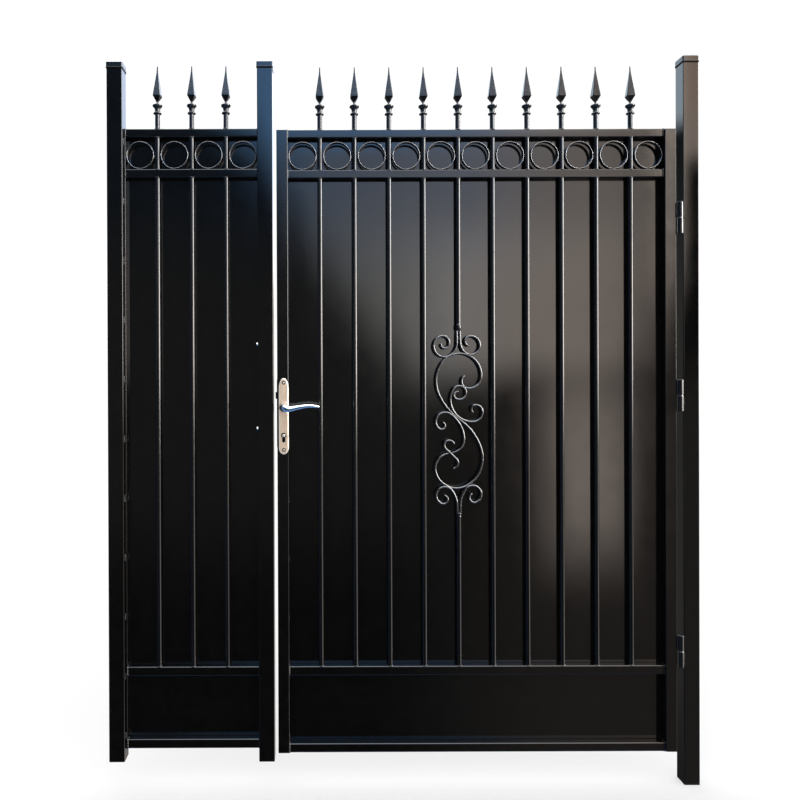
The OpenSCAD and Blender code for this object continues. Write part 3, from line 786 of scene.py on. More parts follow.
def backing_sheet(node, rails):
    """A sheet over the box of its node, buckled between the rails."""
    low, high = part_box(node)
    held_at = [sum(corner.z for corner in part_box(rail)) / 2 for rail in rails]
    columns = round((high.x - low.x) / SHEET_STEP)
    rows = round((high.z - low.z) / SHEET_STEP)
    bm = bmesh.new()
    skins = []
    for side in (low.y, high.y):
        skin = []
        for row in range(rows + 1):
            z = low.z + (high.z - low.z) * row / rows
            xs = [low.x + (high.x - low.x) * column / columns for column in range(columns + 1)]
            skin.append([bm.verts.new((x, side + buckle(x, z, held_at, low, high), z)) for x in xs])
        for lower, upper in zip(skin, skin[1:]):
            for c in range(columns):
                bm.faces.new((lower[c], lower[c + 1], upper[c + 1], upper[c]))
        right, left = [row[-1] for row in skin[1:-1]], [row[0] for row in skin[-2:0:-1]]
        skins.append(skin[0] + right + skin[-1][::-1] + left)
    join_loops(bm, *skins)
    return shade_round(object_from(node + "_buckled", bm), 30)


for panel, body in PANELS_ON:
    rails = [f"{panel}_{place}_rail" for place in RAIL_PLACES]
    piece = backing_sheet(panel + "_sheet", rails)
    fit_out(piece, sheet_coat, body, "black_coat", panel + "_sheet")
    print(piece.name, "has", len(piece.data.polygons), "faces")

# %% [markdown]
# Each Geometry Nodes tree is built node by node, with named inputs for its sizes. Its result is then
# made a plain mesh, because what leaves this file is meshes and not trees.

# %% Geometry Nodes helpers
def new_tree(name, **inputs):
    """A tree of that name and its input sockets, each given as its kind of value."""
    tree = bpy.data.node_groups.new(name, "GeometryNodeTree")
    tree.is_modifier = True
    tree.interface.new_socket("Geometry", in_out="OUTPUT", socket_type="NodeSocketGeometry")
    tree.interface.new_socket("Geometry", in_out="INPUT", socket_type="NodeSocketGeometry")
    for label, kind in inputs.items():
        tree.interface.new_socket(label, in_out="INPUT", socket_type="NodeSocket" + kind)
    return tree, tree.nodes.new("NodeGroupInput").outputs


def finish_tree(tree, geometry, material):
    """Ends a tree with real geometry in one material, as the export drops instances."""
    real = add_node(tree, "GeometryNodeRealizeInstances", {"Geometry": geometry}).outputs[0]
    coated = {"Geometry": real, "Material": material}
    coated = add_node(tree, "GeometryNodeSetMaterial", coated).outputs[0]
    add_node(tree, "NodeGroupOutput", {"Geometry": coated})
    return tree


def grow(name, tree, mesh, **values):
    """Runs a tree on a mesh with those input values, and returns the result as a plain piece."""
    piece = loose_object(name, mesh)
    modifier = piece.modifiers.new(tree.name, "NODES")
    modifier.node_group = tree
    for item in tree.interface.items_tree:
        if item.in_out == "INPUT" and item.name in values:
            modifier[item.identifier] = values[item.name]
    return settle(piece)


print("tree helpers: new_tree, finish_tree, grow")

# %% [markdown]
# Bars, rings and finials are each made once and repeated along the rails. Geometry Nodes set them out:
# a line of points, one of them left out where a bar is missing, and the master piece placed on each.
# A little random turn and tilt make them look hand-welded, with a seed so that it stays.

# %% Tree for a row
def row_tree():
    """Sets a master piece out in a row."""
    tree, given = new_tree(
        "set_out_in_a_row", Piece="Object", Count="Int", Start="Vector", Step="Vector", Skip="Int",
        Turn="Float", Tilt="Float", Spread="Float", Seed="Int", Material="Material",
    )
    line = {"Count": given["Count"], "Start Location": given["Start"], "Offset": given["Step"]}
    points = add_node(tree, "GeometryNodeMeshLine", line, mode="OFFSET").outputs[0]
    index = add_node(tree, "GeometryNodeInputIndex").outputs[0]
    same = {2: index, 3: given["Skip"]}
    skipped = add_node(tree, "FunctionNodeCompare", same, data_type="INT", operation="EQUAL")
    gone = {"Geometry": points, "Selection": skipped.outputs[0]}
    kept = add_node(tree, "GeometryNodeDeleteGeometry", gone, domain="POINT").outputs[0]
    limits = []
    for sign in (-1, 1):
        tilt = math_node(tree, "MULTIPLY", given["Tilt"], sign)
        turn = math_node(tree, "MULTIPLY", given["Turn"], sign)
        limits.append(add_node(tree, "ShaderNodeCombineXYZ", {0: tilt, 1: tilt, 2: turn}).outputs[0])
    within = {"Min": limits[0], "Max": limits[1], "Seed": given["Seed"]}
    angles = add_node(tree, "FunctionNodeRandomValue", within, data_type="FLOAT_VECTOR").outputs[0]
    least = math_node(tree, "SUBTRACT", 1.0, given["Spread"])
    between = {2: least, 3: 1.0, "Seed": given["Seed"]}
    scale = add_node(tree, "FunctionNodeRandomValue", between, data_type="FLOAT").outputs[1]
    master = add_node(tree, "GeometryNodeObjectInfo", {"Object": given["Piece"]}).outputs["Geometry"]
    placed = {"Points": kept, "Instance": master, "Rotation": angles, "Scale": scale}
    placed = add_node(tree, "GeometryNodeInstanceOnPoints", placed).outputs[0]
    return finish_tree(tree, placed, given["Material"])


ROW = row_tree()
print("tree", ROW.name, "has", len(ROW.nodes), "nodes")

# %% [markdown]
# Three more tools: one runs the row tree on a master piece, one joins loose pieces into one mesh, and
# one turns a solid from its outline, as on a lathe.

# %% Setting out a row, joining and turning
def row_of(name, master, count, start, step, material, skip=-1, turn=0.0, tilt=0.0, spread=0.0, seed=1):
    """A row of copies as one piece. Angles are in degrees."""
    return grow(
        name, ROW, bpy.data.meshes.new(name), Piece=master, Count=count, Start=start, Step=step,
        Skip=skip, Turn=math.radians(turn), Tilt=math.radians(tilt), Spread=spread, Seed=seed,
        Material=material,
    )


def joined(name, parts):
    """Several loose pieces as one mesh."""
    bm = bmesh.new()
    for part in parts:
        bm.from_mesh(part.data)
        bpy.data.objects.remove(part)
    mesh = bpy.data.meshes.new(name)
    bm.to_mesh(mesh)
    bm.free()
    return loose_object(name, mesh)


def turned(bm, outline, place=(0, 0, 0), sides=32):
    """A solid turned on a lathe about Z, from its outline of (radius, height) up the axis."""
    loops = []
    for radius, height in outline:
        ring = circle(radius, height, sides)
        loops.append([point + Vector(place) for point in ring])
    return stack_loops(bm, loops)


print("row tools: row_of, joined, turned")

# %% [markdown]
# The welder closes every joint with a run of overlapping drops. A weld is a bead along a seam, so each
# seam is a path of edges, and one tree turns all of them into ripples: it swells and shrinks the radius
# of the path along its length, tapers it at both ends, and sweeps a circle along it.

# %% Tree for a weld
WELD_SAMPLES = 4
WELD_SIDES = 8


def weld_tree():
    """Turns seams into rippled beads. Each point's own radius is in its attribute called bead."""
    sizes = {"Pitch": "Float", "Ripple": "Float", "Rough": "Float"}
    tree, given = new_tree("weld_bead", **sizes, Material="Material")
    curve = add_node(tree, "GeometryNodeMeshToCurve", {"Mesh": given["Geometry"]}).outputs[0]
    step = math_node(tree, "DIVIDE", given["Pitch"], WELD_SAMPLES)
    evenly = {"Curve": curve, "Length": step}
    curve = add_node(tree, "GeometryNodeResampleCurve", evenly, mode="LENGTH").outputs[0]
    along = add_node(tree, "GeometryNodeSplineParameter").outputs["Length"]
    whole = add_node(tree, "GeometryNodeSplineLength").outputs["Length"]
    to_end = math_node(tree, "MINIMUM", along, math_node(tree, "SUBTRACT", whole, along))
    own = {"Name": "bead"}
    bead = add_node(tree, "GeometryNodeInputNamedAttribute", own, data_type="FLOAT").outputs[0]
    share = math_node(tree, "DIVIDE", to_end, math_node(tree, "MULTIPLY", bead, 1.6))
    ends = add_node(tree, "ShaderNodeMapRange", {"Value": share, "To Min": 0.35}).outputs[0]
    looped = add_node(tree, "GeometryNodeInputSplineCyclic").outputs[0]
    ends = math_node(tree, "MAXIMUM", ends, looped)
    phase = math_node(tree, "MULTIPLY", math_node(tree, "DIVIDE", along, given["Pitch"]), 2 * math.pi)
    wave = math_node(tree, "MULTIPLY_ADD", math_node(tree, "SINE", phase), given["Ripple"], 1.0)
    radius = math_node(tree, "MULTIPLY", math_node(tree, "MULTIPLY", bead, ends), wave)
    bead_round = {"Resolution": WELD_SIDES, "Radius": 1.0}
    profile = add_node(tree, "GeometryNodeCurvePrimitiveCircle", bead_round, mode="RADIUS").outputs[0]
    swept = {"Curve": curve, "Profile Curve": profile, "Scale": radius, "Fill Caps": True}
    mesh = add_node(tree, "GeometryNodeCurveToMesh", swept).outputs[0]
    lumps = add_node(tree, "ShaderNodeTexNoise", {"Scale": 260.0, "Detail": 1.0}).outputs["Color"]
    halfway = {0: lumps, 1: (0.5, 0.5, 0.5)}
    centred = add_node(tree, "ShaderNodeVectorMath", halfway, operation="SUBTRACT")
    shift = {0: centred.outputs[0], "Scale": given["Rough"]}
    shift = add_node(tree, "ShaderNodeVectorMath", shift, operation="SCALE").outputs[0]
    mesh = add_node(tree, "GeometryNodeSetPosition", {"Geometry": mesh, "Offset": shift}).outputs[0]
    mesh = add_node(tree, "GeometryNodeSetShadeSmooth", {"Geometry": mesh}).outputs[0]
    return finish_tree(tree, mesh, given["Material"])


WELD = weld_tree()
print("tree", WELD.name, "has", len(WELD.nodes), "nodes")

# %% [markdown]
# The seams are only noted down while the pieces are made. At the very end each body's seams become
# one mesh of edges, with every point's bead radius, for the tree to run on.

# %% Seams to weld
seams = {"posts": [], "leaf": []}


def seam(body, points, bead=1.8 * MM, closed=False):
    """Notes a seam to be welded later: its path, the bead's radius, and whether it closes on itself."""
    seams[body].append(([Vector(point) for point in points], bead, closed))


def round_seam(body, centre, radius, bead=1.5 * MM, points=20):
    """A seam round an upright bar."""
    angles = [2 * math.pi * step / points for step in range(points)]
    path = [Vector(centre) + radius * Vector((math.cos(a), math.sin(a), 0)) for a in angles]
    seam(body, path, bead, closed=True)


def seam_mesh(name, runs):
    """One mesh of edges from several seams, with each point's bead radius."""
    bm = bmesh.new()
    layer = bm.verts.layers.float.new("bead")
    for points, bead, closed in runs:
        verts = [bm.verts.new(point) for point in points]
        for vert in verts:
            vert[layer] = bead
        for first, second in zip(verts, verts[1:] + verts[:1] if closed else verts[1:]):
            bm.edges.new((first, second))
    mesh = bpy.data.meshes.new(name)
    bm.to_mesh(mesh)
    bm.free()
    return mesh


print("seams are noted for:", ", ".join(seams))

# %% [markdown]
# The bars are plain round steel, cut to stand between the rails. The master bar reaches a little into
# the rails, as their corners are round, and a weld runs round each of its feet. The fifth bar of the
# leaf is interrupted by the scroll, so the row of long bars skips it.

# %% Round bars
LEAF_BARS, SIDE_BARS = 10, 3
SCROLL_BAR = 4
BAR_SIDES = 36
BAR_INTO_RAIL = 2.5 * MM
BAR_WELD = 0.6 * MM
bar_low, bar_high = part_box("leaf_bars")
bar_y = (bar_low.y + bar_high.y) / 2
bar_radius = (bar_high.y - bar_low.y) / 2
bar_coat = powder_coat("black_coat_on_bars", gloss=(0.1, 0.17), wave=0.12)


def bar_places(panel):
    """The X of each bar of a panel."""
    low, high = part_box(panel + "_bars")
    count = LEAF_BARS if panel == "leaf" else SIDE_BARS
    first = low.x + bar_radius
    step = (high.x - low.x - 2 * bar_radius) / (count - 1)
    return [first + step * index for index in range(count)]


def bars_between(panel, low_rail, high_rail, skip=-1):
    """The bars of one panel between two of its rails, and their welds."""
    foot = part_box(f"{panel}_{low_rail}_rail")[1].z
    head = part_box(f"{panel}_{high_rail}_rail")[0].z
    height = head - foot + 2 * BAR_INTO_RAIL
    bm = bmesh.new()
    turned(bm, [(bar_radius, 0), (bar_radius, height)], sides=BAR_SIDES)
    master = object_from("master_bar", bm)
    places = bar_places(panel)
    start = (places[0], bar_y, foot - BAR_INTO_RAIL)
    step = (places[1] - places[0], 0, 0)
    row = row_of("bars", master, len(places), start, step, bar_coat, skip)
    bpy.data.objects.remove(master)
    for index, x in enumerate(places):
        if index != skip:
            for z in (foot, head):
                round_seam(dict(PANELS_ON)[panel], (x, bar_y, z), bar_radius + BAR_WELD)
    return row


for panel, body, skip in (("side", "posts", -1), ("leaf", "leaf", SCROLL_BAR)):
    rows = [bars_between(panel, "middle", "ring", skip), bars_between(panel, "ring", "top")]
    piece = shade_round(joined(panel + "_round_bars", rows))
    fit_out(piece, bar_coat, body, "black_coat", panel + "_bars")
    print(piece.name, "has", len(piece.data.polygons), "faces")

# %% [markdown]
# Each ring is a flat strip bent on edge until its ends meet at the bottom, where they never quite match
# and a weld joins them to the rail. So the master ring is its strip's section, with rolled edges,
# carried round almost a whole turn while its radius grows by half a millimetre.

# %% Rings
RING_STEPS = 88
RING_STRIP = 3 * MM
RING_EDGE = 1.35 * MM
RING_GAP = math.radians(1.2)
RING_MISFIT = 0.7 * MM


def bent_ring(radius, depth):
    """The master ring round Y, open by a hair at the bottom."""
    section = rounded_rectangle(RING_STRIP, depth, RING_EDGE)
    loops = []
    for step in range(RING_STEPS + 1):
        share = step / RING_STEPS
        angle = -math.pi / 2 + RING_GAP + (2 * math.pi - 2 * RING_GAP) * share
        middle = radius - RING_STRIP / 2 - RING_MISFIT * (1 - share) ** 3
        around = Vector((math.cos(angle), 0, math.sin(angle)))
        loops.append([around * (middle + point.x) + Vector((0, point.y, 0)) for point in section])
    bm = bmesh.new()
    stack_loops(bm, loops)
    return object_from("master_ring", bm)


print("a ring's strip is bent in", RING_STEPS, "steps")

# %% [markdown]
# Forgings are coated black as the rest, but the hammer's marks show through. The blows are broad
# bumps and the scale is fine ones. The coat is rougher than on the tubes, so it shines more softly.

# %% Forged steel under black coat
FORGED_BLACK, FORGED_DUST = (0.003, 0.003, 0.003), (0.007, 0.007, 0.0068)


def forged_coat(name):
    """Black coat over hammered steel: it keeps the marks of the blows and shines more softly."""
    material, tree, shader = new_material(name)
    dust = noise_texture(tree, 50, detail=6)
    colour = colour_mix(tree, value_ramp(tree, dust, 0, 1), FORGED_BLACK, FORGED_DUST)
    rough = value_ramp(tree, noise_texture(tree, 45, detail=4), 0.17, 0.27)
    blows = noise_texture(tree, 110, detail=1)
    scale = noise_texture(tree, 480, detail=4)
    join_finish(tree, shader, colour, rough, (blows, 0.5, 0.0016), (scale, 0.1, 0.0006))
    set_inputs(shader, Specular_IOR_Level=1.0, Coat_Weight=0.9, Coat_Roughness=0.2, Coat_IOR=1.6)
    return material


forged_black = forged_coat("black_coat_on_forgings")
print(forged_black.name, "ready")

# %% [markdown]
# The rings stand in a row between the two upper rails, one in each gap between the bars and one beside
# each upright. Each ring is welded at its foot, in front and behind.

# %% Rows of rings
RING_WELD, RING_WELD_IN, RING_BEAD = 6 * MM, 2 * MM, 1.6 * MM
for panel, body, count in (("side", "posts", SIDE_BARS + 1), ("leaf", "leaf", LEAF_BARS + 1)):
    low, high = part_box(panel + "_rings")
    radius = (high.z - low.z) / 2
    master = bent_ring(radius, high.y - low.y)
    start = Vector((low.x + radius, (low.y + high.y) / 2, low.z + radius))
    step = Vector(((high.x - low.x - 2 * radius) / (count - 1), 0, 0))
    name = panel + "_bent_rings"
    row = row_of(name, master, count, start, step, forged_black, tilt=1.1, spread=0.012, seed=7)
    bpy.data.objects.remove(master)
    fit_out(shade_round(row, 50), forged_black, body, "black_coat", panel + "_rings")
    for index in range(count):
        foot = start + step * index - Vector((0, 0, radius))
        for side in (low.y, high.y):
            y = side + (RING_WELD_IN if side == low.y else -RING_WELD_IN)
            seam(body, [(foot.x - RING_WELD, y, foot.z), (foot.x + RING_WELD, y, foot.z)], RING_BEAD)
    print(row.name, "has", len(row.data.polygons), "faces")

# %% [markdown]
# The finials are castings on the ends of round stubs: a collar with a waist, a thin neck, and a spear
# that widens quickly, thins evenly and ends in a blunt nib. The spear is a stack of square loops
# with cut corners, whose half width follows a power curve, so a few numbers draw the outline.

# %% Outline of a finial
# radius and height round the collar, in millimetres
COLLAR = [
    (8.0, -1.0), (11.6, 0.0), (13.1, 0.8), (13.5, 2.2), (13.1, 3.8), (11.2, 5.0), (9.6, 6.6), (8.9, 9.5),
    (8.8, 13.0), (9.1, 16.5), (10.2, 19.4), (12.3, 22.0), (14.9, 24.2), (15.7, 25.6), (15.7, 28.6),
    (14.6, 30.2), (11.0, 31.4), (7.5, 32.6), (4.6, 34.2), (3.6, 36.2), (3.4, 39.0), (3.8, 41.6),
    (5.0, 43.6),
]
COLLAR_HEIGHT = 42.4 * MM
FINIAL_HEIGHT = 147.5 * MM
SPEAR_FOOT, SPEAR_WIDTH, SPEAR_NIB, SPEAR_TIP = 4.5 * MM, 13 * MM, 2.3 * MM, 1.5 * MM
SPEAR_RISE, SPEAR_BELLY, SPEAR_HEIGHT = 15.5 * MM, 2.5 * MM, 112 * MM
NIB_HEIGHT = 17 * MM
SPEAR_TAPER = 1.02
SPEAR_CUT = 0.17
SPEAR_STEPS = 14
SPEAR_EDGE = 0.35 * MM
STUB_FOOT = 1 * MM
STUB_BEAD = 1.7 * MM


def cut_square(half, cut):
    """The corners of a square with its corners cut off."""
    edge = half - cut
    right = [(half, edge), (edge, half), (-edge, half), (-half, edge)]
    return right + [(-x, -y) for x, y in right]


def spear_outline():
    """Half width and height of the spear's loops, from its foot to its tip."""
    outline = [(SPEAR_FOOT, -1.5 * MM), (SPEAR_FOOT, 0)]
    for step in range(1, 6):
        share = step / 5
        outline.append((SPEAR_FOOT + (SPEAR_WIDTH - SPEAR_FOOT) * share ** 0.92, SPEAR_RISE * share))
    belly = SPEAR_RISE + SPEAR_BELLY
    nib = SPEAR_HEIGHT - NIB_HEIGHT
    for step in range(SPEAR_STEPS + 1):
        share = step / SPEAR_STEPS
        half = SPEAR_NIB + (SPEAR_WIDTH - SPEAR_NIB) * (1 - share) ** SPEAR_TAPER
        outline.append((half, belly + (nib - belly) * share))
    outline.append((0.85 * SPEAR_NIB, nib + 0.4 * NIB_HEIGHT))
    outline.append((SPEAR_TIP, SPEAR_HEIGHT))
    return outline


print("a spear's outline has", len(spear_outline()), "loops")

# %% [markdown]
# One master finial is turned and stacked from those outlines, and given the coat of a sand casting:
# fine pits under the gloss, and a trace of the mould's grain.

# %% Master finial and its coat
CAST_BLACK, CAST_DUST = (0.0018, 0.0019, 0.0022), (0.0038, 0.0038, 0.004)


def master_finial(height):
    """One finial on its stub, standing at the origin."""
    bm = bmesh.new()
    stub = height - FINIAL_HEIGHT
    turned(bm, [(bar_radius, -STUB_FOOT), (bar_radius, stub)], sides=BAR_SIDES)
    turned(bm, [(radius * MM, stub + z * MM) for radius, z in COLLAR], sides=BAR_SIDES)
    foot = stub + COLLAR_HEIGHT
    loops = []
    for half, z in spear_outline():
        corners = cut_square(half, max(half * SPEAR_CUT, SPEAR_EDGE))
        loops.append([Vector((x, y, foot + z)) for x, y in corners])
    stack_loops(bm, loops)
    return soften(object_from("master_finial", bm), SPEAR_EDGE, 2, 26)


def cast_coat(name):
    """Black coat over a sand casting: fine pits under the gloss, and a trace of the mould's grain."""
    material, tree, shader = new_material(name)
    dust = noise_texture(tree, 60, detail=6)
    colour = colour_mix(tree, value_ramp(tree, dust, 0, 1), CAST_BLACK, CAST_DUST)
    rough = value_ramp(tree, noise_texture(tree, 90, detail=5), 0.2, 0.3)
    pits = noise_texture(tree, 650, detail=4)
    swell = noise_texture(tree, 70, detail=2)
    join_finish(tree, shader, colour, rough, (swell, 0.18, 0.002), (pits, 0.06, 0.0006))
    return material


finial_coat = cast_coat("black_coat_on_castings")
print(finial_coat.name, "ready")

# %% [markdown]
# A finial stands over every bar, turned by up to a few degrees and tilted by a hair, with a weld round
# the foot of its stub.

# %% Rows of finials
for panel, body in PANELS_ON:
    low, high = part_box(panel + "_finials")
    master = master_finial(high.z - low.z)
    places = bar_places(panel)
    step = (places[1] - places[0], 0, 0)
    start = (places[0], bar_y, low.z)
    name = panel + "_spear_finials"
    row = row_of(name, master, len(places), start, step, finial_coat, turn=3.5, tilt=0.35, seed=11)
    bpy.data.objects.remove(master)
    fit_out(shade_round(row, 30), finial_coat, body, "black_coat", panel + "_finials")
    for x in places:
        round_seam(body, (x, bar_y, low.z), bar_radius + BAR_WELD, STUB_BEAD)
    print(row.name, "has", len(row.data.polygons), "faces")

# %% [markdown]
# The scroll is forged from flat strip, on edge. Each strip starts somewhere, heading somewhere, and is
# then a list of straight runs and bends, as a smith would work it.

# %% Strips of the scroll
STEM_X, STEM_END = 5, 295
# start in millimetres and heading in degrees; then lengths, or a radius and an angle to the left
STRIPS = [
    ((-STEM_X, STEM_END, -90), [(40,), (50, -50), (35, -190), (22, -160), (12, -160)]),
    ((STEM_X, STEM_END, -90), [(35,), (55, 35), (30, 245), (16, 165)]),
    ((-STEM_X, -STEM_END, 90), [(18,), (90, 37), (28, 213), (14, 190)]),
    ((STEM_X, -STEM_END, 90), [(25,), (85, -37), (28, -210), (15, -180)]),
    ((21, 148, -150), [
        (22, 145), (40, 90), (70, 150), (105, 60), (205, 30), (175, -40), (100, -75), (70, -100),
        (50, -105),
    ]),
    ((2, 95, 155), [(12, 175), (22, 270), (70, 125), (30, 110), (20, 70), (14, 140)]),
    ((-53, -2, -15), [(12, -200), (25, -30), (30, -150), (105, -50), (45, -90)]),
    ((-15, -76, 95), [(16, 225), (340, -8), (18, -130)]),
]
print(len(STRIPS), "strips,", sum(len(pieces) for _, pieces in STRIPS), "runs and bends")

# %% [markdown]
# The smith drew the ends of the strip thin and rounded them. So each point of a path also carries the
# strip's scale there, and the points stand closer together at both ends.

# %% Path of a strip
STRIP_STEP = math.radians(7)
RUN_STEP = 6 * MM
DRAWN_OUT = 26 * MM
THIN_END = 0.72
NOSE = 2.6 * MM


def strip_path(start, pieces):
    """Points along a strip in its plane. A piece is a length, or a radius and an angle to the left."""
    place = Vector(start[:2]) * MM
    heading = math.radians(start[2])
    path = [place.copy()]
    for piece in pieces:
        length = piece[0] * MM
        if len(piece) == 1:
            steps = max(1, round(length / RUN_STEP))
            for _ in range(steps):
                place = place + Vector((math.cos(heading), math.sin(heading))) * length / steps
                path.append(place.copy())
            continue
        angle = math.radians(piece[1])
        radius = math.copysign(length, angle)
        steps = max(1, math.ceil(abs(angle) / STRIP_STEP))
        centre = place + radius * Vector((-math.sin(heading), math.cos(heading)))
        for step in range(1, steps + 1):
            now = heading + angle * step / steps
            path.append(centre + radius * Vector((math.sin(now), -math.cos(now))))
        heading += angle
        place = path[-1].copy()
    return path


def rounded_ends(path):
    """The path with close points near both ends, and the strip's scale at each point."""
    lengths = [0.0]
    for first, second in zip(path, path[1:]):
        lengths.append(lengths[-1] + (second - first).length)
    whole = lengths[-1]
    nose = [NOSE * (1 - math.cos(math.pi / 2 * step / 5)) for step in range(6)]
    between = [s for s in lengths if NOSE * 1.2 < s < whole - NOSE * 1.2]
    wanted = sorted(set(nose + between + [whole - s for s in nose]))
    points = []
    index = 0
    for along in wanted:
        while index < len(lengths) - 2 and lengths[index + 1] < along:
            index += 1
        share = (along - lengths[index]) / (lengths[index + 1] - lengths[index])
        to_end = min(along, whole - along)
        scale = THIN_END + (1 - THIN_END) * min(1, to_end / DRAWN_OUT)
        if to_end < NOSE:
            scale *= max(0.12, math.sqrt(1 - (1 - to_end / NOSE) ** 2))
        points.append((path[index].lerp(path[index + 1], share), scale))
    return points


print("the longest strip has", max(len(strip_path(*strip)) for strip in STRIPS), "points")

# %% [markdown]
# One tree sweeps the strip's section along every path, swells it a little as if beaten, and stands
# the whole scroll upright in its place.

# %% Tree for forged strip
def strip_tree():
    """Sweeps the strip's section along paths in the XY plane, and stands them upright in their place."""
    tree, given = new_tree(
        "forge_strip", Width="Float", Depth="Float", Round="Float", Place="Vector", Beaten="Float",
        Material="Material",
    )
    curve = add_node(tree, "GeometryNodeMeshToCurve", {"Mesh": given["Geometry"]}).outputs[0]
    curve = add_node(tree, "GeometryNodeSetCurveNormal", {"Curve": curve}, mode="Z_UP").outputs[0]
    size = {"Width": given["Width"], "Height": given["Depth"]}
    section = add_node(tree, "GeometryNodeCurvePrimitiveQuadrilateral", size).outputs[0]
    corners = {"Curve": section, "Radius": given["Round"], "Limit Radius": True, "Count": 4}
    section = add_node(tree, "GeometryNodeFilletCurve", corners, mode="POLY").outputs[0]
    own = {"Name": "scale"}
    scale = add_node(tree, "GeometryNodeInputNamedAttribute", own, data_type="FLOAT").outputs[0]
    blows = add_node(tree, "ShaderNodeTexNoise", {"Scale": 70.0, "Detail": 2.0}).outputs["Fac"]
    blows = math_node(tree, "SUBTRACT", blows, 0.5)
    blows = math_node(tree, "MULTIPLY_ADD", blows, given["Beaten"], 1.0)
    swept = {
        "Curve": curve, "Profile Curve": section, "Scale": math_node(tree, "MULTIPLY", scale, blows),
        "Fill Caps": True,
    }
    mesh = add_node(tree, "GeometryNodeCurveToMesh", swept).outputs[0]
    upright = {"Geometry": mesh, "Translation": given["Place"], "Rotation": (math.pi / 2, 0, 0)}
    mesh = add_node(tree, "GeometryNodeTransform", upright).outputs[0]
    return finish_tree(tree, mesh, given["Material"])


STRIP = strip_tree()
print("tree", STRIP.name, "has", len(STRIP.nodes), "nodes")

# %% [markdown]
# The strips lie in four thin layers, to keep their faces out of one plane where strips cross. They
# become one mesh of edges, and the tree turns that into the scroll.

# %% Scroll
LAYER_STEP = 0.35 * MM
STRIP_WIDTH, STRIP_ROUND = 6.2 * MM, 2.6 * MM
STRIP_BEATEN = 0.12
scroll_low, scroll_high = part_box("scroll")
hung_low, hung_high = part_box("scroll_bar")
scroll_x = (hung_low.x + hung_high.x) / 2
scroll_z = (scroll_low.z + scroll_high.z) / 2
paths = bmesh.new()
scale_layer = paths.verts.layers.float.new("scale")
for layer, (start, pieces) in enumerate(STRIPS):
    verts = []
    for point, scale in rounded_ends(strip_path(start, pieces)):
        vert = paths.verts.new((point.x, point.y, (layer % 4 - 1.5) * LAYER_STEP))
        vert[scale_layer] = scale
        verts.append(vert)
    for first, second in zip(verts, verts[1:]):
        paths.edges.new((first, second))
path_mesh = bpy.data.meshes.new("scroll_paths")
paths.to_mesh(path_mesh)
paths.free()
scroll = grow(
    "forged_scroll", STRIP, path_mesh, Width=STRIP_WIDTH, Depth=scroll_high.y - scroll_low.y,
    Round=STRIP_ROUND, Place=(scroll_x, bar_y, scroll_z), Beaten=STRIP_BEATEN, Material=forged_black,
)
fit_out(shade_round(scroll, 50), forged_black, "leaf", "black_coat", "scroll")
print("scroll:", len(STRIPS), "strips,", len(scroll.data.polygons), "faces")

# %% [markdown]
# Two forged collars bind the scroll's stems to the ends of the interrupted bar. The upper one is a
# plain swollen bead, and the lower one a sharp ring over a smaller bead.

# %% The scroll's bar and collars
# radius and height round each collar, in millimetres
UPPER_COLLAR = [
    (7.6, -0.5), (8.3, 0.6), (9.2, 3.0), (9.7, 6.5), (9.8, 10.0), (9.6, 13.5), (8.9, 17.0), (8.0, 19.4),
    (6.5, 20.3), (3.0, 20.8),
]
LOWER_COLLAR = [
    (3.0, -0.8), (7.4, -0.4), (8.4, 1.2), (8.9, 4.0), (8.9, 7.0), (8.2, 9.8), (7.5, 11.4), (7.6, 12.2),
    (8.9, 13.2), (9.9, 14.6), (10.2, 16.6), (9.7, 18.6), (8.3, 19.9), (6.0, 20.4), (3.0, 20.6),
]
COLLAR_DROP = 20 * MM
bm = bmesh.new()
foot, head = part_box("leaf_middle_rail")[1].z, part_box("leaf_ring_rail")[0].z
for start, end in ((scroll_high.z, head + BAR_INTO_RAIL), (foot - BAR_INTO_RAIL, scroll_low.z)):
    turned(bm, [(bar_radius, start), (bar_radius, end)], (scroll_x, bar_y, 0), BAR_SIDES)
for outline, height in ((UPPER_COLLAR, scroll_high.z), (LOWER_COLLAR, scroll_low.z - COLLAR_DROP)):
    turned(bm, [(radius * MM, z * MM) for radius, z in outline], (scroll_x, bar_y, height), BAR_SIDES)
scroll_bar = shade_round(object_from("scroll_bar_and_collars", bm), 40)
fit_out(scroll_bar, bar_coat, "leaf", "black_coat", "scroll_bar")
for z in (foot, head):
    round_seam("leaf", (scroll_x, bar_y, z), bar_radius + BAR_WELD)
print("scroll bar with its two collars")

# %% [markdown]
# Three lift-off hinges stand in the gap beside the hinge post, level with its front. The lower half,
# with its pin, is welded to the post, and the upper half turns on it with the leaf, on a steel washer.

# %% Hinges
BARREL_CHAMFER = 1.2 * MM
PIN_RADIUS = 5 * MM
PIN_PLAY = 0.2 * MM
SLEEVE_TOP = 4 * MM
BARREL_SIDES = 40
BARREL_RADIUS = 8.2 * MM
LOWER_HALF = 50 * MM
LUG_REACH, LUG_BACK, LUG_EDGE = 6 * MM, 2 * MM, 1 * MM
HINGE_BEAD = 2 * MM
hinge_coat = powder_coat("black_coat_on_hinges", gloss=(0.24, 0.32), wave=0.1)


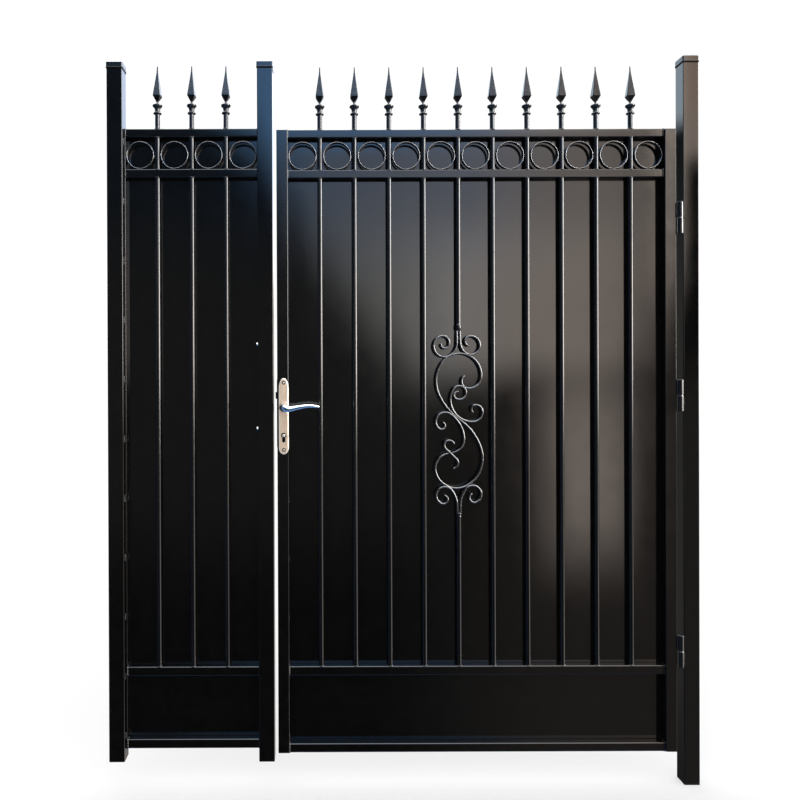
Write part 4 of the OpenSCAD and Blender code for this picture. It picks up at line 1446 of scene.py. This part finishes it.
def barrel(name, place, radius, low, high, bore=None, chamfer=BARREL_CHAMFER):
    """A barrel from low to high, solid or bored from below."""
    outline = [
        (radius - chamfer, low), (radius - chamfer * 0.3, low + chamfer * 0.3), (radius, low + chamfer),
        (radius, high - chamfer),
        (radius - chamfer * 0.3, high - chamfer * 0.3),
        (radius - chamfer, high),
    ]
    if bore:
        top = high - SLEEVE_TOP
        inside = [(bore - 1 * MM, top), (bore, top - 1 * MM)]
        inside += [(bore, low + 0.6 * MM), (bore + 0.6 * MM, low)]
        outline = inside + outline
        outline += [(radius * 0.55, high + 0.5 * MM)]
    bm = bmesh.new()
    turned(bm, outline, place, BARREL_SIDES)
    return object_from(name, bm)


def hinge_part(name, node, moves):
    """The half of a hinge that stands on the post, or the half that moves with the leaf."""
    low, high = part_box(node)
    side = -1 if moves else 1
    edge = low.x if moves else high.x
    axis = Vector((hinge_axis.x, hinge_axis.y, 0))
    foot, head = (low.z, high.z) if moves else (low.z, low.z + LOWER_HALF)
    bore = PIN_RADIUS + PIN_PLAY if moves else None
    parts = [barrel("barrel", axis, BARREL_RADIUS, foot, head, bore)]
    reach = axis.x + side * LUG_REACH
    lug_low = Vector((min(edge, reach), axis.y + LUG_BACK, foot + LUG_EDGE))
    lug_high = Vector((max(edge, reach), high.y, head - LUG_EDGE))
    parts.append(block("lug", lug_low, lug_high, LUG_EDGE))
    if not moves:
        pin = [(PIN_RADIUS, head - 2 * MM), (PIN_RADIUS, high.z - 1 * MM), (PIN_RADIUS - 1 * MM, high.z)]
        bm = bmesh.new()
        turned(bm, pin, axis, BARREL_SIDES)
        parts.append(object_from("pin", bm))
    body = "leaf" if moves else "posts"
    for z in (foot + 1.5 * MM, head - 1.5 * MM):
        seam(body, [(edge, lug_low.y, z), (edge, lug_high.y, z)], HINGE_BEAD)
    for y in (lug_high.y, lug_low.y):
        seam(body, [(edge, y, foot + 2 * MM), (edge, y, head - 2 * MM)], HINGE_BEAD)
    piece = shade_round(joined(name, parts), 40)
    return fit_out(piece, hinge_coat, body, "black_coat", node)


AXIS_INSET = 9 * MM
pin_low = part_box("upper_hinge_pin")[0]
hinge_axis = Vector((pin_low.x + AXIS_INSET, pin_low.y + AXIS_INSET, 0))
WASHER_DEPTH, WASHER_SIDES = 2, 32
# radius in metres and height in millimetres round a washer's section
WASHER = [
    (PIN_RADIUS, 0.1), (6.8 * MM, 0.1), (7.3 * MM, 0.5), (7.3 * MM, 1.3), (6.8 * MM, 1.8),
    (PIN_RADIUS, 1.8),
]
washers = []
for place in ("upper", "middle", "lower"):
    hinge_part(place + "_hinge_lower_half", place + "_hinge_pin", False)
    hinge_part(place + "_hinge_upper_half", place + "_hinge_sleeve", True)
    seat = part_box(place + "_hinge_sleeve")[0].z
    bm = bmesh.new()
    loops = []
    for radius, height in WASHER:
        loops.append(circle(radius, seat + (height - WASHER_DEPTH) * MM, WASHER_SIDES))
    stack_loops(bm, [[point + hinge_axis for point in loop] for loop in loops], closed=True)
    washers.append(object_from("washer", bm))
print("three hinges, each of two halves")

# %% [markdown]
# Bare and plated steel is a metal with faint brush marks, uneven shine and fine scratches. The washers
# between the hinges' halves are zinc plated. So are the screws of the forend and the keeper, the
# keeper's bolts and the spindle.

# %% Worked steel, and the washers
def worked_steel(name, colour, rough, brushed=(1, 1, 1)):
    """Bare or plated steel: a metal with faint brush marks, uneven shine and fine scratches."""
    material, tree, shader = new_material(name)
    set_inputs(shader, Metallic=1.0)
    patches = noise_texture(tree, 90, detail=5)
    tint = colour_mix(tree, value_ramp(tree, patches, 0, 1), [0.82 * c for c in colour], colour)
    marks = noise_texture(tree, 900, detail=3, stretch=brushed)
    shine = value_ramp(tree, marks, *rough)
    join_finish(tree, shader, tint, shine, (marks, 0.1, 0.0002), (patches, 0.05, 0.001))
    return material


# Dark burnished steel for the forend and keeper; on the latch bolt its dark colour is painted shade.
burnished_and_shade_steel = worked_steel("burnished_steel_and_painted_shade", (0.09, 0.088, 0.085), (0.3, 0.42), (1, 1, 0.1))
zinc_plate = worked_steel("zinc_plated_steel", (0.62, 0.63, 0.64), (0.2, 0.34))
fit_out(shade_round(joined("hinge_washers", washers), 40), zinc_plate, "posts", "zinc")
print("three washers in", zinc_plate.name)

# %% [markdown]
# The lock's forend and the keeper are plain steel plates and show only at the edge of the leaf and
# of the post. Each is a plate with round corners and an opening for the latch bolt.

# %% Forend and keeper
def plate_edge(name, node, thin_side, radius, opening_play):
    """An upright plate over a node's box, with round corners and an opening for the latch bolt."""
    low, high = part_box(node)
    section = rounded_rectangle(high.y - low.y, high.z - low.z, radius)
    middle = (low + high) / 2
    rim = 0.35 * MM
    back, front = (high.x, low.x) if thin_side < 0 else (low.x, high.x)
    loops = []
    inner = front - thin_side * rim
    for x, shrink in ((back, 0), (inner, 0), (inner + thin_side * rim * 0.7, rim * 0.3), (front, rim)):
        ratio_y = 1 - 2 * shrink / (high.y - low.y)
        ratio_z = 1 - 2 * shrink / (high.z - low.z)
        loops.append([Vector((x, middle.y + p.x * ratio_y, middle.z + p.y * ratio_z)) for p in section])
    bm = bmesh.new()
    stack_loops(bm, loops)
    plate = object_from(name, bm)
    way = Vector((0, opening_play, opening_play))
    opening_low, opening_high = bolt_low - way, bolt_high + way
    opening_low.x, opening_high.x = low.x - 1 * MM, high.x + 1 * MM
    return cut(plate, box_cutter(opening_low, opening_high))


PLATE_EDGE = 0.15 * MM
forend = soften(plate_edge("forend_plate", "lock_forend", -1, 4 * MM, 0.5 * MM), PLATE_EDGE, 1)
forend_low, forend_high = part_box("lock_forend")
keeper = soften(plate_edge("keeper_plate", "lock_keeper", 1, 3 * MM, 1 * MM), PLATE_EDGE, 1)
fit_out(shade_round(forend, 35), burnished_and_shade_steel, "leaf", "zinc", "lock_forend")
fit_out(shade_round(keeper, 35), burnished_and_shade_steel, "posts", "zinc", "lock_keeper")
print("forend", round(forend_high.z - forend_low.z, 3), "high")
print("keeper", round(keeper_high.z - keeper_low.z, 3), "high")

# %% [markdown]
# The latch bolt's nose tapers, more at the back than at the front, so that the keeper can push it in
# as the leaf closes. It is a stack of rectangles that get narrower towards the nose.

# %% Latch bolt
bolt = bmesh.new()
bolt_section = []
back = bolt_high.x - bolt_low.x
slope = ((back, 0, 0), (6 * MM, 0, 0), (3 * MM, 0.8, 2.2), (0.8 * MM, 2.0, 4.6), (0, 3.4, 5.6))
for out, y_low, y_high in slope:
    front_y, back_y = bolt_low.y + y_low * MM, bolt_high.y - y_high * MM
    corners = [
        (front_y, bolt_low.z), (back_y, bolt_low.z), (back_y, bolt_high.z), (front_y, bolt_high.z),
    ]
    bolt_section.append([Vector((bolt_low.x + out, y, z)) for y, z in corners])
stack_loops(bolt, bolt_section)
latch = soften(object_from("latch_bolt_bevelled", bolt), 0.6 * MM, 2, 30)
# The latch bolt's dark steel is painted shade, for the shade at the stile's edge.
fit_out(latch, burnished_and_shade_steel, "latch", "zinc", "latch_bolt")
print("latch bolt", round(back, 4), "long")

# %% [markdown]
# A raised countersunk screw has a shallow dome with a slot. The slots stand at odd angles, as screws
# are driven home and left. The helper can also set a cup round the head, as the handle plates need.

# %% Screws of the forend and keeper
# radius and rise over the head's own radius
HEAD_OUTLINE = [(1.0, -0.25), (1.0, 0.03), (0.95, 0.17), (0.8, 0.3), (0.55, 0.39), (0.3, 0.42)]
# radius over the head's own radius, and height in millimetres
CUP_SECTION = [
    (1.05, -2.4), (1.1, -1.6), (1.4, -1.1), (1.95, -0.5), (2.15, -0.1), (2.22, -0.3), (2.22, -2.4),
]
SLOT_HALF, SLOT_FLOOR = 0.45 * MM, 0.2 * MM
EDGE_SCREW, EDGE_SCREW_IN = 3.2 * MM, 1.1 * MM
FOREND_SCREW_AT, KEEPER_SCREW_AT = 12 * MM, 14 * MM


def slotted_head(heads, place, out, radius, slot_turn, cups=None):
    """A raised countersunk head with a slot, facing out, and a cup washer where cups are wanted."""
    bm = bmesh.new()
    turned(bm, [(share * radius, rise * radius) for share, rise in HEAD_OUTLINE], sides=28)
    head = object_from("head", bm)
    slot_low = Vector((-radius * 1.2, -SLOT_HALF, SLOT_FLOOR))
    slot = block("slot", slot_low, Vector((radius * 1.2, SLOT_HALF, 4 * MM)))
    slot.data.transform(Matrix.Rotation(slot_turn, 4, "Z"))
    cut(head, slot)
    heads.append(head)
    parts = [head]
    if cups is not None:
        cup = bmesh.new()
        rows = [circle(share * radius, height * MM) for share, height in CUP_SECTION]
        stack_loops(cup, rows, closed=True)
        cups.append(object_from("cup", cup))
        parts.append(cups[-1])
    for part in parts:
        part.data.transform(facing(out, place))


edge_screws = []
for z in (forend_low.z + FOREND_SCREW_AT, forend_high.z - FOREND_SCREW_AT):
    place = Vector((forend_low.x + EDGE_SCREW_IN, 0, z))
    slotted_head(edge_screws, place, (-1, 0, 0), EDGE_SCREW, 0.4)
fit_out(shade_round(joined("forend_screws", edge_screws), 40), zinc_plate, "leaf", "zinc")
keeper_screws = []
for z in (keeper_low.z + KEEPER_SCREW_AT, keeper_high.z - KEEPER_SCREW_AT):
    place = Vector((keeper_high.x - EDGE_SCREW_IN, 0, z))
    slotted_head(keeper_screws, place, (1, 0, 0), EDGE_SCREW, 1.1)
fit_out(shade_round(joined("keeper_screws", keeper_screws), 40), zinc_plate, "posts", "zinc")
print(len(edge_screws), "screws in the forend and", len(keeper_screws), "in the keeper")

# %% [markdown]
# Behind the keeper two bolts go through the middle post. Each shows a chamfered hexagon on a washer.

# %% Keeper bolts
def hex_bolt(place, out, across, washer_radius, washer_height, head_height):
    """A hexagon head with turned-off corners on a washer, as two loose parts."""
    washer = bmesh.new()
    rim = 0.35 * MM
    turned(washer, [
        (washer_radius - rim, 0), (washer_radius, rim), (washer_radius, washer_height - rim),
        (washer_radius - rim, washer_height),
    ])
    top = washer_height + head_height
    head = bmesh.new()
    corner = across / 2 / math.cos(math.pi / 6)
    loops = []
    turned_off = ((1.1 * MM, corner), (0.45 * MM, across * 0.53), (0, across * 0.46))
    for z, limit in [(washer_height, corner)] + [(top - drop, limit) for drop, limit in turned_off]:
        loop = []
        for side in range(24):
            angle = 2 * math.pi * side / 24
            flat = across / 2 / math.cos((angle % (math.pi / 3)) - math.pi / 6)
            reach = min(flat, limit)
            loop.append(Vector((reach * math.cos(angle), reach * math.sin(angle), z)))
        loops.append(loop)
    stack_loops(head, loops)
    parts = [object_from("washer", washer), soften(object_from("head", head), 0.2 * MM, 1, 25)]
    for part in parts:
        part.data.transform(facing(out, place))
    return parts


ACROSS_FLATS, BOLT_HEAD = 10 * MM, 4 * MM
BOLT_WASHER, BOLT_WASHER_HEIGHT = 8 * MM, 1.5 * MM
bolts_low, bolts_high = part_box("keeper_bolts")
nuts = []
for z in (bolts_low.z + BOLT_WASHER, bolts_high.z - BOLT_WASHER):
    place = Vector((bolts_high.x, 0, z))
    nuts += hex_bolt(place, (-1, 0, 0), ACROSS_FLATS, BOLT_WASHER, BOLT_WASHER_HEIGHT, BOLT_HEAD)
fit_out(shade_round(joined("keeper_bolt_heads", nuts), 30), zinc_plate, "posts", "zinc", "keeper_bolts")
print("keeper bolts:", len(nuts) // 2)

# %% [markdown]
# A handle plate runs to a pointed arch above and to a flatter round below. Its outline is a list of
# half widths, moved inwards step by step over the rolled rim, which leaves a flat satin field.

# %% Outline of a handle plate
PLATE_ROWS = 18
TOP_ARCH, BOTTOM_ARCH = 32 * MM, 21 * MM
front_low, front_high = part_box("front_handle_plate")
plate_half = (front_high.x - front_low.x) / 2


def plate_outline():
    """Points round a plate, anticlockwise from its foot, as seen from the front."""
    right = []
    for step in range(PLATE_ROWS + 1):
        angle = math.pi / 2 * step / PLATE_ROWS
        height = front_low.z + BOTTOM_ARCH * (1 - math.cos(angle))
        right.append((plate_half * math.sin(angle), height))
    for step in range(1, PLATE_ROWS + 1):
        share = step / PLATE_ROWS
        angle = math.pi / 2 * share
        half = plate_half * (math.cos(angle) ** 0.86)
        right.append((half, front_high.z - TOP_ARCH * (1 - math.sin(angle) ** 1.18)))
    right[-1] = (0.0, front_high.z)
    left = [(-x, z) for x, z in reversed(right[1:-1])]
    return [Vector((handle.x + x, z)) for x, z in right + left]


def moved_in(outline, distance):
    """An outline moved inwards by a distance."""
    result = []
    for index, point in enumerate(outline):
        before, after = outline[index - 1], outline[(index + 1) % len(outline)]
        along = (after - before).normalized()
        result.append(point + distance * Vector((-along.y, along.x)))
    return result


print("a plate's outline has", len(plate_outline()), "points")

# %% [markdown]
# The plates are anodised to a warm satin. A value stored on each point marks the rolled rim, up to a
# certain height over the stile, and the rim is painted paler than the field: a painted highlight where
# the rolled rim catches the light. Holes for the lever, the screws and the lock cylinder are cut while
# the plate is still a plain mesh.

# %% Handle plates
# inset from the outline and height over the stile, in millimetres
PLATE_RIM = [
    (0.0, 0.0), (0.0, 2.4), (0.25, 3.6), (0.9, 4.9), (1.8, 5.8), (2.9, 6.3), (3.4, 6.25), (3.9, 6.4),
    (4.4, 6.5),
]
RIM_HEIGHT = 6.3 * MM
SCREW_RECESS = 5.9 * MM
SCREW_AT = 4 * MM
LEVER_HOLE = 10.4 * MM
CYLINDER_RADIUS = 8.3 * MM
CYLINDER_GAP = 0.35 * MM
TAIL_HALF = 4.9 * MM
screw_low, screw_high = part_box("plate_screws")
screw_heights = (screw_low.z + SCREW_AT, screw_high.z - SCREW_AT)


def satin_metal(name, colour, rim_highlight_colour):
    """Anodised satin: mostly a soft sheen of its own colour, brushed up and down, with a paler rim that
    is a painted highlight.
    """
    material, tree, shader = new_material(name)
    set_inputs(shader, Metallic=0.35, Coat_Weight=0.3, Coat_Roughness=0.15)
    brush = noise_texture(tree, 700, detail=3, stretch=(1, 1, 0.04))
    cloud = noise_texture(tree, 30, detail=4)
    field = colour_mix(tree, value_ramp(tree, cloud, 0, 1), [0.9 * c for c in colour], colour)
    # The rim's paler colour is a painted highlight where the rolled rim catches the light.
    rim = add_node(tree, "ShaderNodeAttribute", attribute_name="rim").outputs["Fac"]
    shares = {"Factor": rim, "A": field, "B": (*rim_highlight_colour, 1)}
    tint = add_node(tree, "ShaderNodeMix", shares, data_type="RGBA").outputs["Result"]
    join_finish(tree, shader, tint, value_ramp(tree, brush, 0.26, 0.4), (brush, 0.14, 0.00025))
    return material


def handle_plate(name, node, side):
    """A plate on the front (side -1) or the back (side 1) of the stile."""
    base = stile_low.y if side < 0 else stile_high.y
    outline = plate_outline()
    loops = []
    for inset, height in PLATE_RIM:
        y = base + side * height * MM
        loops.append([Vector((p.x, y, p.y)) for p in moved_in(outline, inset * MM)])
    bm = bmesh.new()
    stack_loops(bm, loops)
    plate = object_from(name, bm)
    reach = (base - 3 * MM, base + side * 12 * MM)
    round_z = cylinder_high.z - CYLINDER_RADIUS
    drilled = [(handle.z, LEVER_HOLE), (round_z, CYLINDER_RADIUS + CYLINDER_GAP)]
    drilled += [(z, SCREW_RECESS) for z in screw_heights]
    tail_low = Vector((handle.x - TAIL_HALF, min(reach), cylinder_low.z - 0.2 * MM))
    tail_high = Vector((handle.x + TAIL_HALF, max(reach), round_z))
    drills = []
    for z, radius in drilled:
        drills.append(rod("cutter", (handle.x, reach[0], z), (handle.x, reach[1], z), radius))
    cut(plate, *drills, box_cutter(tail_low, tail_high))
    # The rim value picks the points that get the painted highlight colour.
    rim = plate.data.attributes.new("rim", "FLOAT", "POINT")
    for vert in plate.data.vertices:
        rim.data[vert.index].value = float(abs(vert.co.y - base) < RIM_HEIGHT)
    return fit_out(shade_round(plate, 30), champagne, "leaf", "satin_plate", node)


champagne = satin_metal("champagne_satin", (0.78, 0.61, 0.46), (0.97, 0.9, 0.8))
handle_plate("front_plate", "front_handle_plate", -1)
handle_plate("back_plate", "back_handle_plate", 1)
print("two handle plates in", champagne.name)

# %% [markdown]
# Two screws hold each plate. Their nickel heads sit in cups painted near-black: painted shade, which
# draws the dark ring of shadow round each head.

# %% Plate screws
SCREW_RADIUS = 2.6 * MM
SCREW_OUT = 6.5 * MM
plate_screws, screw_cups = [], []
turns = iter((0.5, -0.3, 1.2, 0.1))
for side in (-1, 1):
    for z in screw_heights:
        y = (stile_low.y if side < 0 else stile_high.y) + side * SCREW_OUT
        place = Vector((handle.x, y, z))
        slotted_head(plate_screws, place, (0, side, 0), SCREW_RADIUS, next(turns), screw_cups)
polished = worked_steel("polished_chrome", (0.86, 0.87, 0.89), (0.05, 0.11))
nickel = satin_metal("nickel_plated_brass", (0.9, 0.87, 0.8), (0.9, 0.87, 0.8))
screw_piece = shade_round(joined("plate_screw_heads", plate_screws), 40)
fit_out(screw_piece, nickel, "leaf", "zinc", "plate_screws")
# Near-black steel is painted shade: it darkens the screw cups and the cylinder's case as shade would.
shade_black_steel = worked_steel("steel_painted_black_as_shade", (0.008, 0.008, 0.009), (0.3, 0.42))
fit_out(shade_round(joined("plate_screw_cups", screw_cups), 40), shade_black_steel, "leaf", "zinc")
print(len(plate_screws), "plate screws in", len(screw_cups), "cups")

# %% [markdown]
# The cylinder has the usual pear outline. Its case is painted near-black as painted shade, for the shade
# of the plates, and the plug that the key turns is bright, with a keyway cut into it on both sides.

# %% Lock cylinder
CASE_OUT = 7.6 * MM
PLUG_RADIUS = 4.7 * MM
PLUG_OUT = 8.4 * MM
PLUG_EDGE_CUT = 0.5 * MM
CASE_EDGE = 0.5 * MM
TAIL_RADIUS = 4.8 * MM
KEYWAY = Vector((0.7 * MM, 5 * MM, 2.9 * MM))
case_z = cylinder_high.z - CYLINDER_RADIUS


def pear_outline(shrink):
    """Points round the cylinder's outline: a circle with a tail that ends round."""
    radius, half = CYLINDER_RADIUS - shrink, TAIL_RADIUS - shrink
    start = -math.acos(half / radius)
    steps = 26
    points = []
    for step in range(steps + 1):
        angle = start + (math.pi - 2 * start) * step / steps
        points.append(Vector((radius * math.cos(angle), radius * math.sin(angle))))
    foot = cylinder_low.z - case_z + half + shrink
    for step in range(11):
        angle = math.pi + math.pi * step / 10
        points.append(Vector((half * math.cos(angle), foot + half * math.sin(angle))))
    return points


case = bmesh.new()
reach = stile_high.y + CASE_OUT
rows = ((-reach, CASE_EDGE), (-reach + CASE_EDGE, 0), (reach - CASE_EDGE, 0), (reach, CASE_EDGE))
stack_loops(case, [
    [Vector((handle.x + p.x, y, case_z + p.y)) for p in pear_outline(inset)] for y, inset in rows
])
case_piece = shade_round(object_from("lock_cylinder_case", case), 40)
fit_out(case_piece, shade_black_steel, "leaf", "brass_core", "lock_cylinder")
plugs_of_lock = []
for side in (-1, 1):
    face = side * (stile_high.y + PLUG_OUT)
    bm = bmesh.new()
    edge = [(PLUG_RADIUS, -PLUG_EDGE_CUT), (PLUG_RADIUS - PLUG_EDGE_CUT, 0)]
    turned(bm, [(PLUG_RADIUS, -4 * MM)] + edge, sides=40)
    plug = object_from("plug", bm)
    plug.data.transform(facing((0, side, 0), (handle.x, face, case_z)))
    middle = Vector((handle.x, face, case_z - 1 * MM))
    cut(plug, box_cutter(middle - KEYWAY, middle + KEYWAY))
    plugs_of_lock.append(plug)
fit_out(shade_round(joined("lock_cylinder_plugs", plugs_of_lock), 40), nickel, "leaf", "brass_core")
print("lock cylinder with a plug and keyway on both sides")

# %% [markdown]
# A lever is one casting: a round collar on the plate, a neck that comes out, and an arm that leaves
# it in a bend and thins towards its tip. It is lofted through oval sections along that path.

# %% Sections of a lever
LEVER_SIDES = 28


def lever_sections():
    """Centre out of the plate and along, direction, half size in the plan, half height, and rise."""
    arm, bend = 40.0, 13.0
    rows = [
        (0.5, 0, 0, 13.2, 13.4, 0), (1.1, 0, 0, 14, 14.2, 0), (5.0, 0, 0, 14.4, 14.9, 0),
        (8.0, 0, 0, 14.1, 14.7, 0), (11.0, 0, 0, 13.1, 14.1, 0), (13.5, 0, 0, 12.0, 13.4, -0.1),
        (17.0, 0, 0, 11.2, 13.0, -0.3),
        (arm - bend, 0, 0, 10.6, 12.8, -0.6),
    ]
    for step in range(1, 7):
        share = step / 6
        angle = math.radians(90 * share)
        out, along = arm - bend + bend * math.sin(angle), bend - bend * math.cos(angle)
        thick, tall, rise = 10.6 - 2.8 * share, 12.8 - 2.0 * share, -0.6 - 2.4 * share
        rows.append((out, along, 90 * share, thick, tall, rise))
    straight = [
        (19, 7.3, 9.9, -3.3), (28, 6.8, 8.9, -2.4), (42, 6.4, 7.7, 0.4), (60, 6.2, 6.9, 3.9),
        (78, 6.0, 6.1, 6.1), (94, 5.8, 5.5, 5.8), (105, 5.3, 5.0, 4.5), (110.5, 4.2, 4.1, 3.7),
        (113, 2.8, 2.9, 3.3), (114.2, 1.2, 1.2, 3.2),
    ]
    rows += [(arm, along, 90, thick, tall, rise) for along, thick, tall, rise in straight]
    return rows


print("a lever is lofted through", len(lever_sections()), "ovals")

# %% [markdown]
# The same lever serves the front and the back, mirrored through the leaf. Its boss is sunk in the
# plate, and a square spindle joins the two levers.

# %% Levers
LEVER_FACE = 7 * MM
BOSS_RADIUS, BOSS_HEIGHT, BOSS_SUNK, BOSS_SIDES = 10 * MM, 4.5 * MM, 3 * MM, 32


def lever(name, node, side):
    """A lever on the front (side -1) or the back (side 1) of the leaf."""
    face = stile_high.y + LEVER_FACE
    bm = bmesh.new()
    loops = []
    for out, along, turn, thick, tall, rise in lever_sections():
        angle = math.radians(turn)
        across = Vector((math.cos(angle), -math.sin(angle)))
        centre = Vector((along, out))
        loop = []
        for step in range(LEVER_SIDES):
            a = 2 * math.pi * step / LEVER_SIDES
            flat = centre + across * thick * math.cos(a)
            x = handle.x + flat.x * MM
            y = side * (face + flat.y * MM)
            z = handle.z + (tall * math.sin(a) + rise) * MM
            loop.append(Vector((x, y, z)))
        loops.append(loop)
    stack_loops(bm, loops)
    boss = [circle(BOSS_RADIUS, height, BOSS_SIDES) for height in (0, BOSS_HEIGHT)]
    sunk = face - BOSS_SUNK
    stack_loops(bm, [
        [Vector((handle.x + p.x, side * (sunk + p.z), handle.z + p.y)) for p in loop] for loop in boss
    ])
    return fit_out(shade_round(object_from(name, bm), 50), polished, "handle", "polished_lever", node)


lever("front_lever_handle", "front_lever", -1)
lever("back_lever_handle", "back_lever", 1)
spindle = block("square_spindle", spindle_low, spindle_high, 0.6 * MM)
fit_out(spindle, zinc_plate, "handle", "zinc", "spindle")
print("two levers on one spindle")

# %% [markdown]
# Where a rail meets an upright, the bead runs over the top, down the front and back under it. The
# sheets are held from behind: short runs stitch them to the uprights, and a row of plug welds, ground
# almost flush, follows every rail.

# %% Seams of the frame, and plug welds
CORNER_BEAD = 2.3 * MM
STITCH_LENGTH, STITCH_STEP = 24 * MM, 190 * MM
STITCH_MARGIN, STITCH_BEAD = 30 * MM, 1.7 * MM
PLUG_STEP, PLUG_EDGE = 110 * MM, 30 * MM
PLUG_OUTLINE = [
    (7 * MM, -0.4 * MM), (6.6 * MM, 0.35 * MM), (5.2 * MM, 0.75 * MM), (2 * MM, 0.95 * MM),
]
weld_coat = cast_coat("black_coat_on_welds")


def rail_end(body, node, x):
    """A seam round the top, front and underside of a rail at one of its ends."""
    low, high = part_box(node)
    inset = 0.5 * MM
    soft = RAIL_RADIUS * 0.4
    seam(body, [
        (x, high.y - 2 * MM, high.z - inset), (x, low.y + RAIL_RADIUS, high.z - inset),
        (x, low.y + soft, high.z - soft), (x, low.y + inset, high.z - RAIL_RADIUS),
        (x, low.y + inset, low.z + RAIL_RADIUS), (x, low.y + soft, low.z + soft),
        (x, low.y + RAIL_RADIUS, low.z + inset), (x, high.y - 2 * MM, low.z + inset),
    ], CORNER_BEAD)


def stitches(body, x, y, low, high):
    """Short upright runs of weld from low to high."""
    count = int((high - low) / STITCH_STEP)
    for index in range(count + 1):
        z = low + STITCH_MARGIN + (high - low - 2 * STITCH_MARGIN - STITCH_LENGTH) * index / count
        seam(body, [(x, y, z), (x, y, z + STITCH_LENGTH)], STITCH_BEAD)


def plug_welds(panel, sheet_low, sheet_high):
    """A row of flat round plug welds on the back of the sheet behind each rail."""
    bm = bmesh.new()
    turned(bm, PLUG_OUTLINE, sides=24)
    master = object_from("master_plug_weld", bm)
    master.data.transform(Matrix.Rotation(-math.pi / 2, 4, "X"))
    count = round((sheet_high.x - sheet_low.x) / PLUG_STEP)
    step = ((sheet_high.x - sheet_low.x - 2 * PLUG_EDGE) / (count - 1), 0, 0)
    rows = []
    for index, place in enumerate(RAIL_PLACES):
        rail_low, rail_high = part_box(f"{panel}_{place}_rail")
        start = (sheet_low.x + PLUG_EDGE, sheet_high.y, (rail_low.z + rail_high.z) / 2)
        rows.append(
            row_of("plugs", master, count, start, step, weld_coat, tilt=1.5, spread=0.12, seed=index)
        )
    bpy.data.objects.remove(master)
    return shade_round(joined(panel + "_plug_welds", rows), 50)


print(weld_coat.name, "ready")

# %% [markdown]
# Last come the welds themselves. The remaining seams are noted and the plug welds are set out. Then the
# weld tree runs once for each of the two bodies, on all of its seams.

# %% Welds
WELD_PITCH = 2.6 * MM
WELD_RIPPLE, WELD_ROUGH = 0.14, 0.7 * MM
for panel, body in PANELS_ON:
    for place in RAIL_PLACES:
        node = f"{panel}_{place}_rail"
        low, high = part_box(node)
        for x in (low.x, high.x):
            rail_end(body, node, x)
    low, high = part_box(panel + "_sheet")
    for x in (low.x + 0.5 * MM, high.x - 0.5 * MM):
        stitches(body, x, high.y, low.z, high.z)
    fit_out(plug_welds(panel, low, high), weld_coat, body, "black_coat")
end_low, end_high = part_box("side_end_bar")
for y in (end_low.y + 1 * MM, end_high.y - 1 * MM):
    stitches("posts", end_low.x, y, end_low.z, end_high.z)
for body, runs in seams.items():
    welds = grow(
        body + "_welds", WELD, seam_mesh(body + "_seams", runs),
        Pitch=WELD_PITCH, Ripple=WELD_RIPPLE, Rough=WELD_ROUGH, Material=weld_coat,
    )
    fit_out(welds, weld_coat, body, "black_coat")
    print(welds.name, "runs along", len(runs), "seams with", len(welds.data.polygons), "faces")
